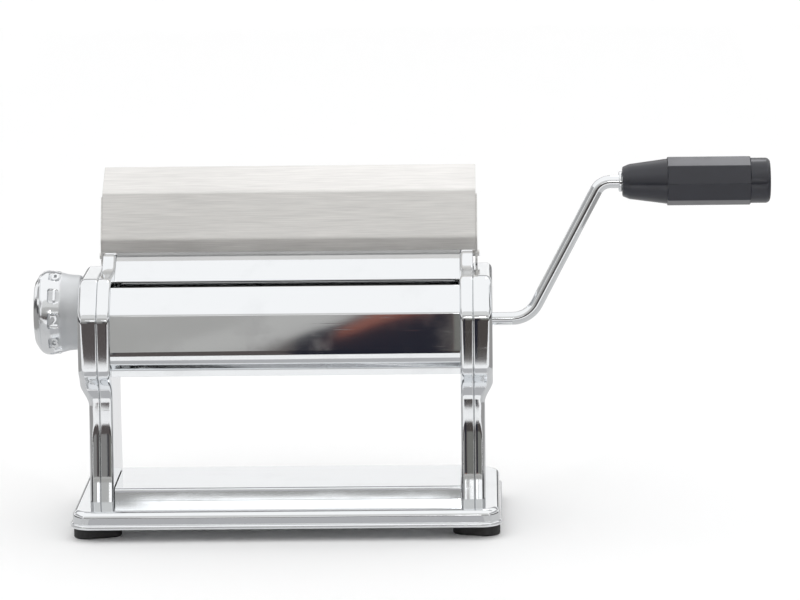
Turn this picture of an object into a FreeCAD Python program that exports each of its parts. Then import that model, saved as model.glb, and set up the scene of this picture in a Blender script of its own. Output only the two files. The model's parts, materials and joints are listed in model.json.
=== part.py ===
import FreeCAD, Part
import Sketcher
import math
import os
from FreeCAD import Placement, Rotation, Vector

# Hand cranked pasta machine. X runs along the rollers, from the knob to the crank. Y runs from the
# front to the back, with 0 midway between the rollers. Z is up from the table.

doc = FreeCAD.newDocument("pasta_machine")
sheet = doc.addObject("Spreadsheet::Sheet", "sizes")

driving_sizes = {
    # side frames: distances from the middle of the machine
    "plate_inside": 79.0,
    "seam_half": 85.0,
    "leg_half": 90.0,
    "cover_half": 93.7,
    "shell_wall": 1.6,
    # side outline
    "body_front": 31.0,
    "body_back": 35.0,
    "body_top": 114.4,
    "body_bottom": 71.5,
    "body_bend": 99.6,
    "foot_reach": 27.2,
    "rim_round": 3.0,
    "horn_top": 120.9,
    # base
    "base_length": 194.8,
    "base_depth": 104.0,
    "base_top": 13.6,
    "base_wall": 1.2,
    "bead_height": 2.2,
    "bead_reach": 1.0,
    "bridge_depth": 50.0,
    "bridge_top": 19.3,
    "bridge_sheet": 1.0,
    "foot_height": 5.6,
    "foot_x": 85.7,
    "foot_y": 36.5,
    "foot_length": 21.8,
    "foot_width": 12.8,
    "foot_turn": 20.0,
    # rollers
    "axis_height": 94.4,
    "roller_dia": 25.4,
    "roller_half": 77.0,
    "open_gap": 2.9,
    "gap_travel": 2.7,
    "journal_dia": 10.0,
    "hollow_journal_dia": 16.6,
    "roller_bore": 12.6,
    "fit_gap": 0.05,
    # gears
    "gear_start": 83.4,
    "gear_width": 4.4,
    "gear_tip": 14.55,
    "gear_root": 10.75,
    # sheet covers
    "cover_sheet": 0.8,
    "cover_front": 27.4,
    "cover_lean": 3.2,
    "cover_back": 31.0,
    "cover_bottom": 79.2,
    "cover_bend": 99.7,
    "throat_top": 111.1,
    "throat_front": 19.0,
    # dough guide
    "guide_sheet": 0.9,
    "guide_half": 86.0,
    "guide_offset": 0.4,
    "bracket_sheet": 1.0,
    # adjusting shaft and its snail cams
    "shaft_dia": 6.0,
    "cam_start": 88.3,
    "cam_width": 1.6,
    "cam_small": 5.0,
    "knob_steps": 9.0,
    "step_angle": 36.0,
    # knob
    "knob_inner": 95.0,
    "knob_seam": 113.0,
    "knob_outer": 116.4,
    "knob_rim": 19.4,
    # crank
    "rod_dia": 5.8,
    "crank_throw": 62.1,
    "elbow_out": 110.3,
    "elbow_grip": 143.0,
    "grip_start": 152.8,
    "facet_start": 172.9,
    "facet_end": 210.5,
    "grip_end": 219.3,
    "grip_plain": 10.2,
    "grip_rim": 11.1,
}

for row, (alias, number) in enumerate(driving_sizes.items(), start=1):
    sheet.set("A%d" % row, alias)
    sheet.set("B%d" % row, str(number))
    sheet.setAlias("B%d" % row, alias)
doc.recompute()


def size(alias):
    return float(sheet.get(alias))


# The origin of the finished part is under the middle of its overall box.
shift_rule = "(sizes.knob_outer - sizes.grip_end) / 2"
pitch_half_rule = "(sizes.roller_dia + sizes.open_gap) / 2"
pitch_half = (size("roller_dia") + size("open_gap")) / 2
axis_z = size("axis_height")
parts = []


def keep(item, label, y_rule="0", z_rule="0"):
    # Names a finished sub-part and puts it at its place in the machine.
    item.Label = label
    item.setExpression("Placement.Base.x", shift_rule)
    item.setExpression("Placement.Base.y", y_rule)
    item.setExpression("Placement.Base.z", z_rule)
    parts.append(item)
    return item


def plane_of(body, role):
    for item in body.Origin.OriginFeatures:
        if item.Role == role:
            return item
    raise ValueError(role)


def add_sketch(body, role, offset_rule="0"):
    sketch = body.newObject("Sketcher::SketchObject", "Sketch")
    sketch.AttachmentSupport = [(plane_of(body, role), "")]
    sketch.MapMode = "FlatFace"
    sketch.setExpression("AttachmentOffset.Base.z", offset_rule)
    return sketch


def flat(u, v):
    return Vector(u, v, 0)


def corner_cut(before, here, after, radius):
    # The two tangent points and the centre of an arc that rounds one corner.
    one = (before - here).normalize()
    two = (after - here).normalize()
    half = one.getAngle(two) / 2
    reach = radius / math.tan(half)
    middle = (one + two).normalize()
    return here + one * reach, here + two * reach, here + middle * (radius / math.sin(half))


def outline_curves(corners):
    # Lines and arcs of a closed outline. Each corner is (u, v, radius).
    curves = []
    count = len(corners)
    ends = []
    for index in range(count):
        u, v, radius = corners[index]
        here = flat(u, v)
        before = flat(*corners[index - 1][:2])
        after = flat(*corners[(index + 1) % count][:2])
        if radius <= 0:
            ends.append((here, here))
            continue
        first, last, centre = corner_cut(before, here, after, radius)
        ends.append((first, last))
        start = math.atan2(first.y - centre.y, first.x - centre.x)
        stop = math.atan2(last.y - centre.y, last.x - centre.x)
        if (stop - start) % (2 * math.pi) > math.pi:
            start, stop = stop, start
        circle = Part.Circle(centre, Vector(0, 0, 1), radius)
        curves.append(Part.ArcOfCircle(circle, start, start + (stop - start) % (2 * math.pi)))
    for index in range(count):
        leave = ends[index][1]
        arrive = ends[(index + 1) % count][0]
        if leave.distanceToPoint(arrive) > 1e-6:
            curves.append(Part.LineSegment(leave, arrive))
    return curves


def side_of_turn(before, here, after):
    return (here[0] - before[0]) * (after[1] - here[1]) - (here[1] - before[1]) * (after[0] - here[0])


def shifted_point(before, here, after, distance):
    # The corner of a path moved to its left by a distance.
    normals = []
    for start, stop in ((before, here), (here, after)):
        length = math.hypot(stop[0] - start[0], stop[1] - start[1])
        if length > 0:
            normals.append(((start[1] - stop[1]) / length, (stop[0] - start[0]) / length))
    u = sum(item[0] for item in normals) / len(normals)
    v = sum(item[1] for item in normals) / len(normals)
    scale = distance / (u * u + v * v)
    return here[0] + u * scale, here[1] + v * scale


def inset(corners, distance):
    # A closed outline, drawn clockwise, moved outwards by a distance, or inwards when it is negative.
    moved = []
    count = len(corners)
    for index in range(count):
        before = corners[index - 1]
        here = corners[index]
        after = corners[(index + 1) % count]
        u, v = shifted_point(before, here, after, distance)
        sign = -1 if side_of_turn(before, here, after) > 0 else 1
        radius = max(here[2] + sign * distance, 0) if here[2] > 0 else 0
        moved.append((u, v, radius))
    return moved


def strip(path, thickness):
    # The closed outline of a bent sheet. The path is its outer face, and the sheet lies to the left.
    inner = []
    last = len(path) - 1
    for index, here in enumerate(path):
        before = path[max(index - 1, 0)]
        after = path[min(index + 1, last)]
        u, v = shifted_point(before, here, after, thickness)
        turn = side_of_turn(before, here, after)
        radius = here[2]
        if radius > 0:
            radius = radius - thickness if turn > 0 else radius + thickness
        inner.append((u, v, max(radius, 0)))
    return list(path) + inner[::-1]


def draw(sketch, corners):
    sketch.addGeometry(outline_curves(corners), False)


def draw_circle(sketch, radius_rule, centre=(0, 0)):
    index = sketch.addGeometry(Part.Circle(flat(*centre), Vector(0, 0, 1), 1.0), False)
    number = sketch.addConstraint(Sketcher.Constraint("Radius", index, 1.0))
    sketch.setExpression("Constraints[%d]" % number, radius_rule)


def pad(body, sketch, length_rule, side=1):
    # Adds material along the sketch's normal, or against it when side is negative.
    feature = body.newObject("PartDesign::Pad", "Pad")
    feature.Profile = sketch
    feature.Reversed = side < 0
    feature.setExpression("Length", length_rule)
    doc.recompute()
    return feature


def pocket(body, sketch, length_rule, side=-1):
    # Removes material against the sketch's normal, or along it when side is positive.
    before = body.Shape.Volume
    feature = body.newObject("PartDesign::Pocket", "Pocket")
    feature.Profile = sketch
    feature.Reversed = side > 0
    feature.setExpression("Length", length_rule)
    doc.recompute()
    if not body.Shape.Volume < before - 1e-6:
        raise RuntimeError("a pocket cut nothing in " + body.Label)
    return feature


def edges_where(body, test):
    # Names of the edges whose bounding box passes a test.
    names = []
    for number, edge in enumerate(body.Shape.Edges, start=1):
        if test(edge.BoundBox):
            names.append("Edge%d" % number)
    return names


def near(one, other):
    return abs(one - other) < 1e-4


def fillet(body, names, radius):
    base = body.Tip
    feature = body.newObject("PartDesign::Fillet", "Fillet")
    feature.Base = (base, names)
    feature.Radius = radius
    doc.recompute()
    return feature


def new_body(name):
    return doc.addObject("PartDesign::Body", name)


def pad_outline(body, role, offset_rule, corners, length_rule, side=1):
    sketch = add_sketch(body, role, offset_rule)
    draw(sketch, corners)
    return pad(body, sketch, length_rule, side)


def pocket_outline(body, role, offset_rule, corners, length_rule, side=-1):
    sketch = add_sketch(body, role, offset_rule)
    draw(sketch, corners)
    return pocket(body, sketch, length_rule, side)


def pad_ring(body, offset_rule, length_rule, outer_rule, inner_rule="", side=1, centre=(0, 0)):
    # A disc or ring across the X axis.
    sketch = add_sketch(body, "YZ_Plane", offset_rule)
    draw_circle(sketch, outer_rule, centre)
    if inner_rule:
        draw_circle(sketch, inner_rule, centre)
    return pad(body, sketch, length_rule, side)


def bore(body, offset_rule, length_rule, radius_rule, centre=(0, 0), side=-1):
    sketch = add_sketch(body, "YZ_Plane", offset_rule)
    draw_circle(sketch, radius_rule, centre)
    return pocket(body, sketch, length_rule, side)


def turned(body, profile):
    # A solid of revolution about the X axis. The profile is (x, radius, corner radius).
    sketch = add_sketch(body, "XY_Plane")
    draw(sketch, profile)
    feature = body.newObject("PartDesign::Revolution", "Revolution")
    feature.Profile = sketch
    feature.ReferenceAxis = (sketch, ["H_Axis"])
    feature.Angle = 360
    doc.recompute()
    return feature


def rectangle(low_u, low_v, high_u, high_v, radius=0.0):
    places = [(low_u, low_v), (low_u, high_v), (high_u, high_v), (high_u, low_v)]
    return [(u, v, radius) for u, v in places]


def signed(side, rule):
    return rule if side > 0 else "-(%s)" % rule


side_names = {-1: "left", 1: "right"}

# Side outline, clockwise seen from the right: up the front, over the top, down the back.
foot_reach = size("foot_reach")
base_top = size("base_top")
front = -size("body_front")
back = size("body_back")
flare = 24.9
flare_z = 25.0
waist = 22.5
waist_z = 45.0
neck_z = 66.5
neck_round = 11.0
shoulder_z = size("body_bottom")
top_z = size("body_top")
horn_z = size("horn_top")
taper_low = 57.0
taper_high = 67.0


def side_outline(with_horn):
    front_run = [
        (-foot_reach, base_top, 0),
        (-flare, flare_z, 20),
        (-waist, waist_z, 80),
        (-waist + 0.7, neck_z, neck_round),
        (front, shoulder_z, 6),
        (front, size("body_bend"), 10),
        (front + 12.5, top_z, 10),
    ]
    if with_horn:
        top_run = [(5.0, top_z, 12), (15.0, horn_z, 5), (31.0, horn_z, 4), (back, horn_z - 14.0, 10)]
    else:
        top_run = [(back - 8.0, top_z, 8), (back, top_z - 11.0, 10)]
    back_run = [
        (back, shoulder_z, 6),
        (waist + 2.5, neck_z, neck_round),
        (waist + 2, waist_z, 80),
        (flare + 0.8, flare_z, 20),
        (foot_reach, base_top, 0),
    ]
    return front_run + top_run + back_run


# Tie rods, as (name, y, z). The top one is screwed into the horns, the others have nuts.
tie_rods = [("front_tie_rod", -24.4, 79.4), ("rear_tie_rod", 26.8, 79.4), ("top_tie_rod", 20.5, 115.4)]
rod_radius = 2.0
stud_radius = 1.4
nut_across = 5.0

# The knob's figures stand this many degrees round from straight up, and so does the index pin.
figure_turn = 21.0
index_radius = 1.25
index_circle = 13.0
index_y = -index_circle * math.sin(math.radians(figure_turn))
index_z = index_circle * math.cos(math.radians(figure_turn))

# The dough guide's pins drop into slots in the horns.
pin_y = 23.0
pin_z = horn_z - 1.8
pin_radius = 1.5

# The front roller's bushes, and the bearing blocks that slide in windows of the side plates.
bush_radius = 7.0
block_half_y = 11.5
block_half_z = 10.8
window_slack = 0.06
travel = size("gap_travel")


def side_plate(side):
    body = new_body("side_plate")
    place = signed(side, "sizes.plate_inside")
    seam = signed(side, "sizes.seam_half")
    pad_outline(body, "YZ_Plane", place, side_outline(True), "sizes.seam_half - sizes.plate_inside", side)
    inside = side * size("plate_inside")

    def inner_rim(box):
        return near(box.XMin, inside) and near(box.XMax, inside) and box.ZMax > base_top + 1

    fillet(body, edges_where(body, inner_rim), 1.8)
    wall = size("shell_wall")
    hollow = inset(side_outline(False), -wall)
    hollow[0] = (hollow[0][0], base_top - 1.0, 0)
    hollow[-1] = (hollow[-1][0], base_top - 1.0, 0)
    depth = "sizes.seam_half - sizes.plate_inside - sizes.shell_wall"
    pocket_outline(body, "YZ_Plane", seam, hollow, depth, -side)
    through = "sizes.seam_half - sizes.plate_inside + 1"
    bore(body, seam, through, str(bush_radius), (-pitch_half, axis_z), -side)
    low = (pitch_half - block_half_y - travel - 0.2, axis_z - block_half_z - window_slack)
    high = (pitch_half + block_half_y + 0.2, axis_z + block_half_z + window_slack)
    pocket_outline(body, "YZ_Plane", seam, rectangle(*low, *high, 2.0), through, -side)
    for name, y, z in tie_rods:
        bore(body, seam, through, str(stud_radius + 0.05), (y, z), -side)
    slot = pin_radius + 0.1
    slot_bottom = pin_z - pin_radius - 0.2
    horn_slot = [
        (pin_y - slot, slot_bottom, slot),
        (pin_y - slot, top_z + 12, 0),
        (pin_y + slot, top_z + 12, 0),
        (pin_y + slot, slot_bottom, slot - 0.01),
    ]
    pocket_outline(body, "YZ_Plane", seam, horn_slot, through, -side)
    return keep(body, side_names[side] + "_side_plate")


def side_cover(side):
    body = new_body("side_cover")
    seam = signed(side, "sizes.seam_half")
    outside = signed(side, "sizes.cover_half")
    pad_outline(body, "YZ_Plane", seam, side_outline(False), "sizes.cover_half - sizes.seam_half", side)
    # The leg is thinner than the body: a wedge comes off its outer side.
    leg = size("leg_half")
    cover = size("cover_half")
    wedge = [
        (side * leg, base_top - 1, 0),
        (side * leg, taper_low, 0),
        (side * cover, taper_high, 0),
        (side * (cover + 2), taper_high, 0),
        (side * (cover + 2), base_top - 1, 0),
    ]
    sketch = add_sketch(body, "XZ_Plane", "60")
    draw(sketch, wedge)
    pocket(body, sketch, "120", -1)
    round_outer_edges(body, side)
    wall = size("shell_wall")
    inner = inset(side_outline(False), -wall)
    body_part = [(-waist + wall + 1, taper_high + 1, 2)] + inner[4:-4] + [(waist - wall, taper_high + 1, 2)]
    depth = "sizes.cover_half - sizes.seam_half - sizes.shell_wall"
    pocket_outline(body, "YZ_Plane", seam, body_part, depth, side)
    leg_part = rectangle(-waist + wall, base_top - 1, waist - wall, taper_low, 0)
    leg_depth = "sizes.leg_half - sizes.seam_half - sizes.shell_wall"
    pocket_outline(body, "YZ_Plane", seam, leg_part, leg_depth, side)
    if side > 0:
        bore(body, outside, "6", "4", (-pitch_half, axis_z), -side)
    else:
        bore(body, outside, "6", "5", (pitch_half, axis_z), -side)
        bore(body, outside, "6", str(index_radius), (pitch_half + index_y, axis_z + index_z), -side)
    return keep(body, side_names[side] + "_side_cover")


def round_outer_edges(body, side):
    # Rounds the breaks across the outer face first, then the whole outer rim.
    leg = size("leg_half") - 1e-3

    def outer(box):
        return min(side * box.XMin, side * box.XMax) > leg and box.ZMax > base_top + 1

    def across(box):
        return near(box.ZMin, box.ZMax) and box.YMax - box.YMin > 30 and box.ZMax < shoulder_z

    fillet(body, edges_where(body, lambda box: outer(box) and across(box)), 6.0)
    fillet(body, edges_where(body, lambda box: outer(box) and not across(box)), size("rim_round"))


def base_plate():
    body = new_body("base_plate")
    half_x = size("base_length") / 2
    half_y = size("base_depth") / 2
    corner = 9.0
    bead = size("bead_reach")
    tray = rectangle(bead - half_x, bead - half_y, half_x - bead, half_y - bead, corner)
    rim = rectangle(-half_x, -half_y, half_x, half_y, corner + bead)
    pad_outline(body, "XY_Plane", "sizes.foot_height", rim, "sizes.bead_height")
    fillet(body, edges_where(body, lambda box: near(box.ZMin, box.ZMax)), bead)
    pad_outline(body, "XY_Plane", "sizes.foot_height", tray, "sizes.base_top - sizes.foot_height")
    fillet(body, edges_where(body, lambda box: near(box.ZMin, base_top) and near(box.ZMax, base_top)), 3.0)
    wall = size("base_wall")
    pocket_outline(body, "XY_Plane", "sizes.foot_height", inset(tray, -wall),
                   "sizes.base_top - sizes.foot_height - sizes.base_wall", 1)
    sketch = add_sketch(body, "XY_Plane", "sizes.base_top")
    for x, y in base_screw_places():
        draw_circle(sketch, "1.6", (x, y))
    pocket(body, sketch, "sizes.base_wall")
    keep(body, "base_plate")


def base_screw_places():
    middle = size("seam_half")
    return [(side * middle, end * 13.0) for side in (-1, 1) for end in (-1, 1)]


def base_bridge():
    body = new_body("base_bridge")
    half_y = size("bridge_depth") / 2
    top = size("bridge_top")
    bend = 2.0
    path = [(half_y, base_top, 0), (half_y, top, bend), (-half_y, top, bend), (-half_y, base_top, 0)]
    section = strip(path, size("bridge_sheet"))
    half = "sizes.plate_inside - 0.3"
    pad_outline(body, "YZ_Plane", "-(%s)" % half, section, "2 * (%s)" % half)
    keep(body, "base_bridge")


def feet():
    for side in (-1, 1):
        for end, end_name in ((-1, "front"), (1, "rear")):
            body = new_body("foot")
            x = side * size("foot_x")
            y = end * size("foot_y")
            # The outer end of each foot points to the corner of the base.
            turn = side * end * size("foot_turn")
            half_length = size("foot_length") / 2
            half_width = size("foot_width") / 2
            sole = turned_rectangle(x, y, half_length, half_width, half_width - 0.2, turn)
            plug = turned_rectangle(x, y, 6.0, 4.0, 3.0, turn)
            pad_outline(body, "XY_Plane", "0", sole, "sizes.foot_height")
            fillet(body, edges_where(body, lambda box: near(box.ZMin, 0) and near(box.ZMax, 0)), 0.8)
            pad_outline(body, "XY_Plane", "sizes.foot_height", plug,
                        "sizes.base_top - sizes.base_wall - sizes.foot_height")
            keep(body, "foot_%s_%s" % (end_name, side_names[side]))


def turned_rectangle(x, y, half_length, half_width, radius, turn):
    corners = spun(rectangle(-half_length, -half_width, half_length, half_width, radius), turn)
    return [(x + u, y + v, corner) for u, v, corner in corners]


def base_fasteners():
    # A bar in the foot of each leg takes two screws from below the base.
    bar_top = base_top + 6.5
    for side in (-1, 1):
        body = new_body("nut_bar")
        low = size("plate_inside") + size("shell_wall")
        high = size("leg_half") - size("shell_wall")
        corners = rectangle(low, -19.0, high, 19.0, 0)
        if side < 0:
            corners = rectangle(-high, -19.0, -low, 19.0, 0)
        pad_outline(body, "XY_Plane", "sizes.base_top", corners, str(bar_top - base_top))
        sketch = add_sketch(body, "XY_Plane", "sizes.base_top")
        for x, y in base_screw_places():
            if x * side > 0:
                draw_circle(sketch, "1.5", (x, y))
        pocket(body, sketch, "10", 1)
        keep(body, side_names[side] + "_nut_bar")
    body = new_body("base_screws")
    head_height = 2.0
    head_bottom = base_top - size("base_wall") - head_height
    places = base_screw_places()
    pad_circles(body, "XY_Plane", str(head_bottom), places, "3.0", str(head_height))
    pad_circles(body, "XY_Plane", str(head_bottom), places, "1.5", str(bar_top - head_bottom))
    keep(body, "base_screws")


def pad_circles(body, role, offset_rule, places, radius_rule, length_rule, side=1):
    sketch = add_sketch(body, role, offset_rule)
    for place in places:
        draw_circle(sketch, radius_rule, place)
    return pad(body, sketch, length_rule, side)


def folded_sheet(label, path, thickness, low_rule="-sizes.plate_inside", high_rule="sizes.plate_inside"):
    body = new_body(label)
    pad_outline(body, "YZ_Plane", low_rule, strip(path, thickness), "(%s) - (%s)" % (high_rule, low_rule))
    return keep(body, label)


def covers():
    sheet_wall = size("cover_sheet")
    bend_y = -size("cover_front")
    face = bend_y - size("cover_lean")
    hem = size("cover_bottom")
    lip_y = -size("throat_front")
    lip_z = size("throat_top")
    front_path = [
        (lip_y + 1.5, lip_z - 1.0, 0),
        (lip_y, lip_z, 0.9),
        (bend_y, size("cover_bend"), 2.5),
        (face, hem, 2.0),
        (face + 4.2, hem - 4.9, 1.2),
        (face + 4.2, shoulder_z - 0.3, 0),
    ]
    folded_sheet("front_cover", front_path, sheet_wall)
    rear_face = size("cover_back")
    rear_path = [
        (rear_face - 4.0, shoulder_z - 0.3, 0),
        (rear_face - 4.0, hem - 5.2, 1.2),
        (rear_face, hem - 0.4, 2.0),
        (rear_face, 112.0, 3.0),
        (21.5, lip_z + 11.7, 4.0),
        (1.0, lip_z - 0.3, 0.9),
        (1.0, lip_z - 1.6, 0),
    ]
    folded_sheet("rear_cover", rear_path, sheet_wall)


def scrapers():
    folded_sheet("front_scraper", [(-9.0, 82.2, 0), (-24.9, 76.7, 1.0), (-27.0, 79.2, 0)], 0.6)
    folded_sheet("rear_scraper", [(28.9, 78.75, 0), (27.4, 76.9, 1.0), (9.5, 80.9, 0)], 0.6)


def hexagon(centre, across):
    corner = across / math.sqrt(3)
    points = []
    for index in range(6):
        angle = -index * math.pi / 3
        points.append((centre[0] + corner * math.cos(angle), centre[1] + corner * math.sin(angle), 0))
    return points


def tie_rod_set():
    stud_end = size("plate_inside") + 4.6
    for name, y, z in tie_rods:
        body = new_body("tie_rod")
        pad_ring(body, "-sizes.plate_inside", "2 * sizes.plate_inside", str(rod_radius), centre=(y, z))
        pad_ring(body, str(-stud_end), str(2 * stud_end), str(stud_radius), centre=(y, z))
        keep(body, name)
    for side in (-1, 1):
        body = new_body("nuts")
        start = signed(side, "sizes.plate_inside + sizes.shell_wall")
        sketch = add_sketch(body, "YZ_Plane", start)
        for name, y, z in tie_rods[:2]:
            draw(sketch, hexagon((y, z), nut_across))
            draw_circle(sketch, str(stud_radius), (y, z))
        pad(body, sketch, "2.4", side)
        keep(body, side_names[side] + "_tie_rod_nuts")


front_axis_y = "-" + pitch_half_rule
rear_axis_y = pitch_half_rule


def keep_on_axis(body, label, axis_y_rule):
    return keep(body, label, axis_y_rule, "sizes.axis_height")


def front_bushes():
    for side in (-1, 1):
        body = new_body("front_bush")
        start = signed(side, "sizes.plate_inside - 1.4")
        pad_ring(body, start, "1.4", "9", side=side)
        pad_ring(body, start, "4.4", str(bush_radius), side=side)
        bore(body, start, "10", "sizes.journal_dia / 2 + sizes.fit_gap", side=side)
        keep_on_axis(body, side_names[side] + "_front_bush", front_axis_y)


def front_roller():
    body = new_body("front_roller")
    half = size("roller_half")
    barrel = size("roller_dia") / 2
    journal = size("journal_dia") / 2
    left_end = -size("plate_inside") - 4.5
    right_end = size("leg_half") + 1.0
    turned(body, [
        (left_end, 0, 0), (left_end, journal, 0), (-half, journal, 0), (-half, barrel, 0.5),
        (half, barrel, 0.5), (half, journal, 0), (right_end, journal, 0), (right_end, 0, 0),
    ])
    bore(body, str(right_end), "5", "sizes.rod_dia / 2 + sizes.fit_gap")
    pocket_outline(body, "YZ_Plane", str(right_end), square(4.1), "15")
    keep_on_axis(body, "front_roller", front_axis_y)
    clip = new_body("front_roller_clip")
    pad_ring(clip, "-sizes.plate_inside - 3.2", "1", "6.6", "sizes.journal_dia / 2", -1)
    keep_on_axis(clip, "front_roller_clip", front_axis_y)


def square(across, turn=0.0):
    half = across / 2
    return spun([(-half, -half, 0), (-half, half, 0), (half, half, 0), (half, -half, 0)], turn)


def spun(corners, turn):
    # The same outline turned about its origin.
    angle = math.radians(turn)
    cosine = math.cos(angle)
    sine = math.sin(angle)
    return [(u * cosine - v * sine, u * sine + v * cosine, radius) for u, v, radius in corners]


def gear_outline(first_angle):
    # Long narrow teeth stay in mesh while the distance between the rollers changes.
    teeth = 12
    levels = [(size("gear_root"), 1.85), (12.8, 1.2), (size("gear_tip"), 0.6)]
    points = []
    for index in range(teeth):
        angle = first_angle - index * 360.0 / teeth
        flank = [(radius, half, 0) for radius, half in levels]
        flank += [(radius, -half, 0) for radius, half in reversed(levels)]
        points += spun(flank, angle)
    return points


def gear(label, first_angle, bore_rule, axis_y_rule):
    body = new_body(label)
    pad_outline(body, "YZ_Plane", "sizes.gear_start", gear_outline(first_angle), "sizes.gear_width")
    bore(body, "sizes.gear_start", "10", bore_rule, side=1)
    keep_on_axis(body, label, axis_y_rule)


def rear_roller():
    body = new_body("rear_roller")
    half = size("roller_half")
    barrel = size("roller_dia") / 2
    journal = size("hollow_journal_dia") / 2
    inside = size("roller_bore") / 2
    left_end = -size("plate_inside") - 4.4
    right_end = size("gear_start") + size("gear_width") + 0.2
    turned(body, [
        (left_end, inside, 0), (left_end, journal, 0), (-half, journal, 0), (-half, barrel, 0.5),
        (half, barrel, 0.5), (half, journal, 0), (right_end, journal, 0), (right_end, inside, 0),
    ])
    keep_on_axis(body, "rear_roller", rear_axis_y)
    clip = new_body("rear_roller_clip")
    pad_ring(clip, "-sizes.plate_inside - 3.4", "0.8", "10.2", "sizes.hollow_journal_dia / 2", -1)
    keep_on_axis(clip, "rear_roller_clip", rear_axis_y)


# The yoke's pins, seen from the rear roller's axis.
yoke_pin_y = 6.0
yoke_pin_z = 15.0
yoke_pins = [(yoke_pin_y, yoke_pin_z), (yoke_pin_y, -yoke_pin_z)]
nose_radius = 1.2
nose_gap = 0.15


def rear_carriage():
    for side in (-1, 1):
        name = side_names[side]
        bore_rule = "sizes.hollow_journal_dia / 2 + sizes.fit_gap"
        block = new_body("bearing_block")
        start = signed(side, "sizes.plate_inside - 0.7")
        window_part = rectangle(-block_half_y, -block_half_z, block_half_y, block_half_z, 2.0)
        pad_outline(block, "YZ_Plane", start, window_part, "2.4", side)
        bore_start = start
        start = signed(side, "sizes.plate_inside + 1.7")
        pad_outline(block, "YZ_Plane", start, rectangle(-14.0, -12.6, 12.0, 12.6, 3.0), "1.4", side)
        for low_z, high_z in ((-17.6, -8.0), (8.0, 17.6)):
            ear = rectangle(yoke_pin_y - 2.6, low_z, yoke_pin_y + 2.6, high_z, 2.0)
            pad_outline(block, "YZ_Plane", start, ear, "1.4", side)
        bore(block, bore_start, "10", bore_rule, side=side)
        keep_on_axis(block, name + "_bearing_block", rear_axis_y)

        pins = new_body("yoke_pins")
        start = signed(side, "sizes.plate_inside + 3.1")
        reach = "sizes.cam_start - sizes.plate_inside - 3.1"
        pad_circles(pins, "YZ_Plane", start, yoke_pins, "1.2", reach, side)
        keep_on_axis(pins, name + "_yoke_pins", rear_axis_y)

        yoke = new_body("yoke_plate")
        start = signed(side, "sizes.cam_start")
        plate = rectangle(-14.0, -17.6, 14.0, 17.6, 4.0)
        pad_outline(yoke, "YZ_Plane", start, plate, "sizes.cam_width", side)
        bore(yoke, start, "5", "11.2", side=side)
        tip = size("cam_small") + nose_gap
        nose = [
            (-12.0, -nose_radius, 0),
            (-12.0, nose_radius, 0),
            (-tip, nose_radius, nose_radius - 0.05),
            (-tip, -nose_radius, nose_radius - 0.05),
        ]
        pad_outline(yoke, "YZ_Plane", start, nose, "sizes.cam_width", side)
        keep_on_axis(yoke, name + "_yoke_plate", rear_axis_y)


def snail_outline():
    # The radius grows evenly over the knob's turn, and rests at both ends of it.
    turn = size("knob_steps") * size("step_angle")
    small = size("cam_small")
    large = small + travel
    rest = 10.0
    steps = 36
    rise = []
    for index in range(steps + 1):
        angle = math.radians(180 + turn * index / steps)
        radius = small + travel * index / steps
        rise.append(flat(radius * math.cos(angle), radius * math.sin(angle)))
    curve = Part.BSplineCurve()
    curve.interpolate(rise)
    top = arc_points(large, 180 + turn, 180 + turn + rest)
    low = arc_points(small, 180 + turn + 2 * rest, 540)
    return [curve, Part.Arc(*top), Part.LineSegment(top[2], low[0]), Part.Arc(*low)]


def arc_points(radius, start, stop):
    points = []
    for angle in (start, (start + stop) / 2, stop):
        points.append(flat(radius * math.cos(math.radians(angle)), radius * math.sin(math.radians(angle))))
    return points


def adjusting_gear():
    shaft = new_body("adjust_shaft")
    knob_end = -106.0
    round_end = -94.8
    pad_ring(shaft, str(round_end), "92.0 - (%s)" % round_end, "sizes.shaft_dia / 2")
    pad_outline(shaft, "YZ_Plane", str(knob_end), square(4.3, figure_turn), str(round_end - knob_end))
    bore(shaft, str(knob_end), "9", "1.3", side=1)
    keep_on_axis(shaft, "adjust_shaft", rear_axis_y)
    for side in (-1, 1):
        cam = new_body("cam")
        sketch = add_sketch(cam, "YZ_Plane", signed(side, "sizes.cam_start"))
        sketch.addGeometry(snail_outline(), False)
        pad(cam, sketch, "sizes.cam_width", side)
        bore(cam, signed(side, "sizes.cam_start"), "5", "sizes.shaft_dia / 2", side=side)
        keep_on_axis(cam, side_names[side] + "_cam", rear_axis_y)
    running_bore = "sizes.shaft_dia / 2 + sizes.fit_gap"
    bush = new_body("left_shaft_bush")
    pad_ring(bush, "-90.6", "3.1", "5", side=-1)
    pad_ring(bush, "-sizes.cover_half", "0.8", "7", side=-1)
    bore(bush, "-90", "10", running_bore, side=-1)
    keep_on_axis(bush, "left_shaft_bush", rear_axis_y)
    bush = new_body("right_shaft_bush")
    pad_ring(bush, "90.1", "sizes.cover_half - sizes.shell_wall - 90.1", "5", running_bore)
    keep_on_axis(bush, "right_shaft_bush", rear_axis_y)


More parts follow.
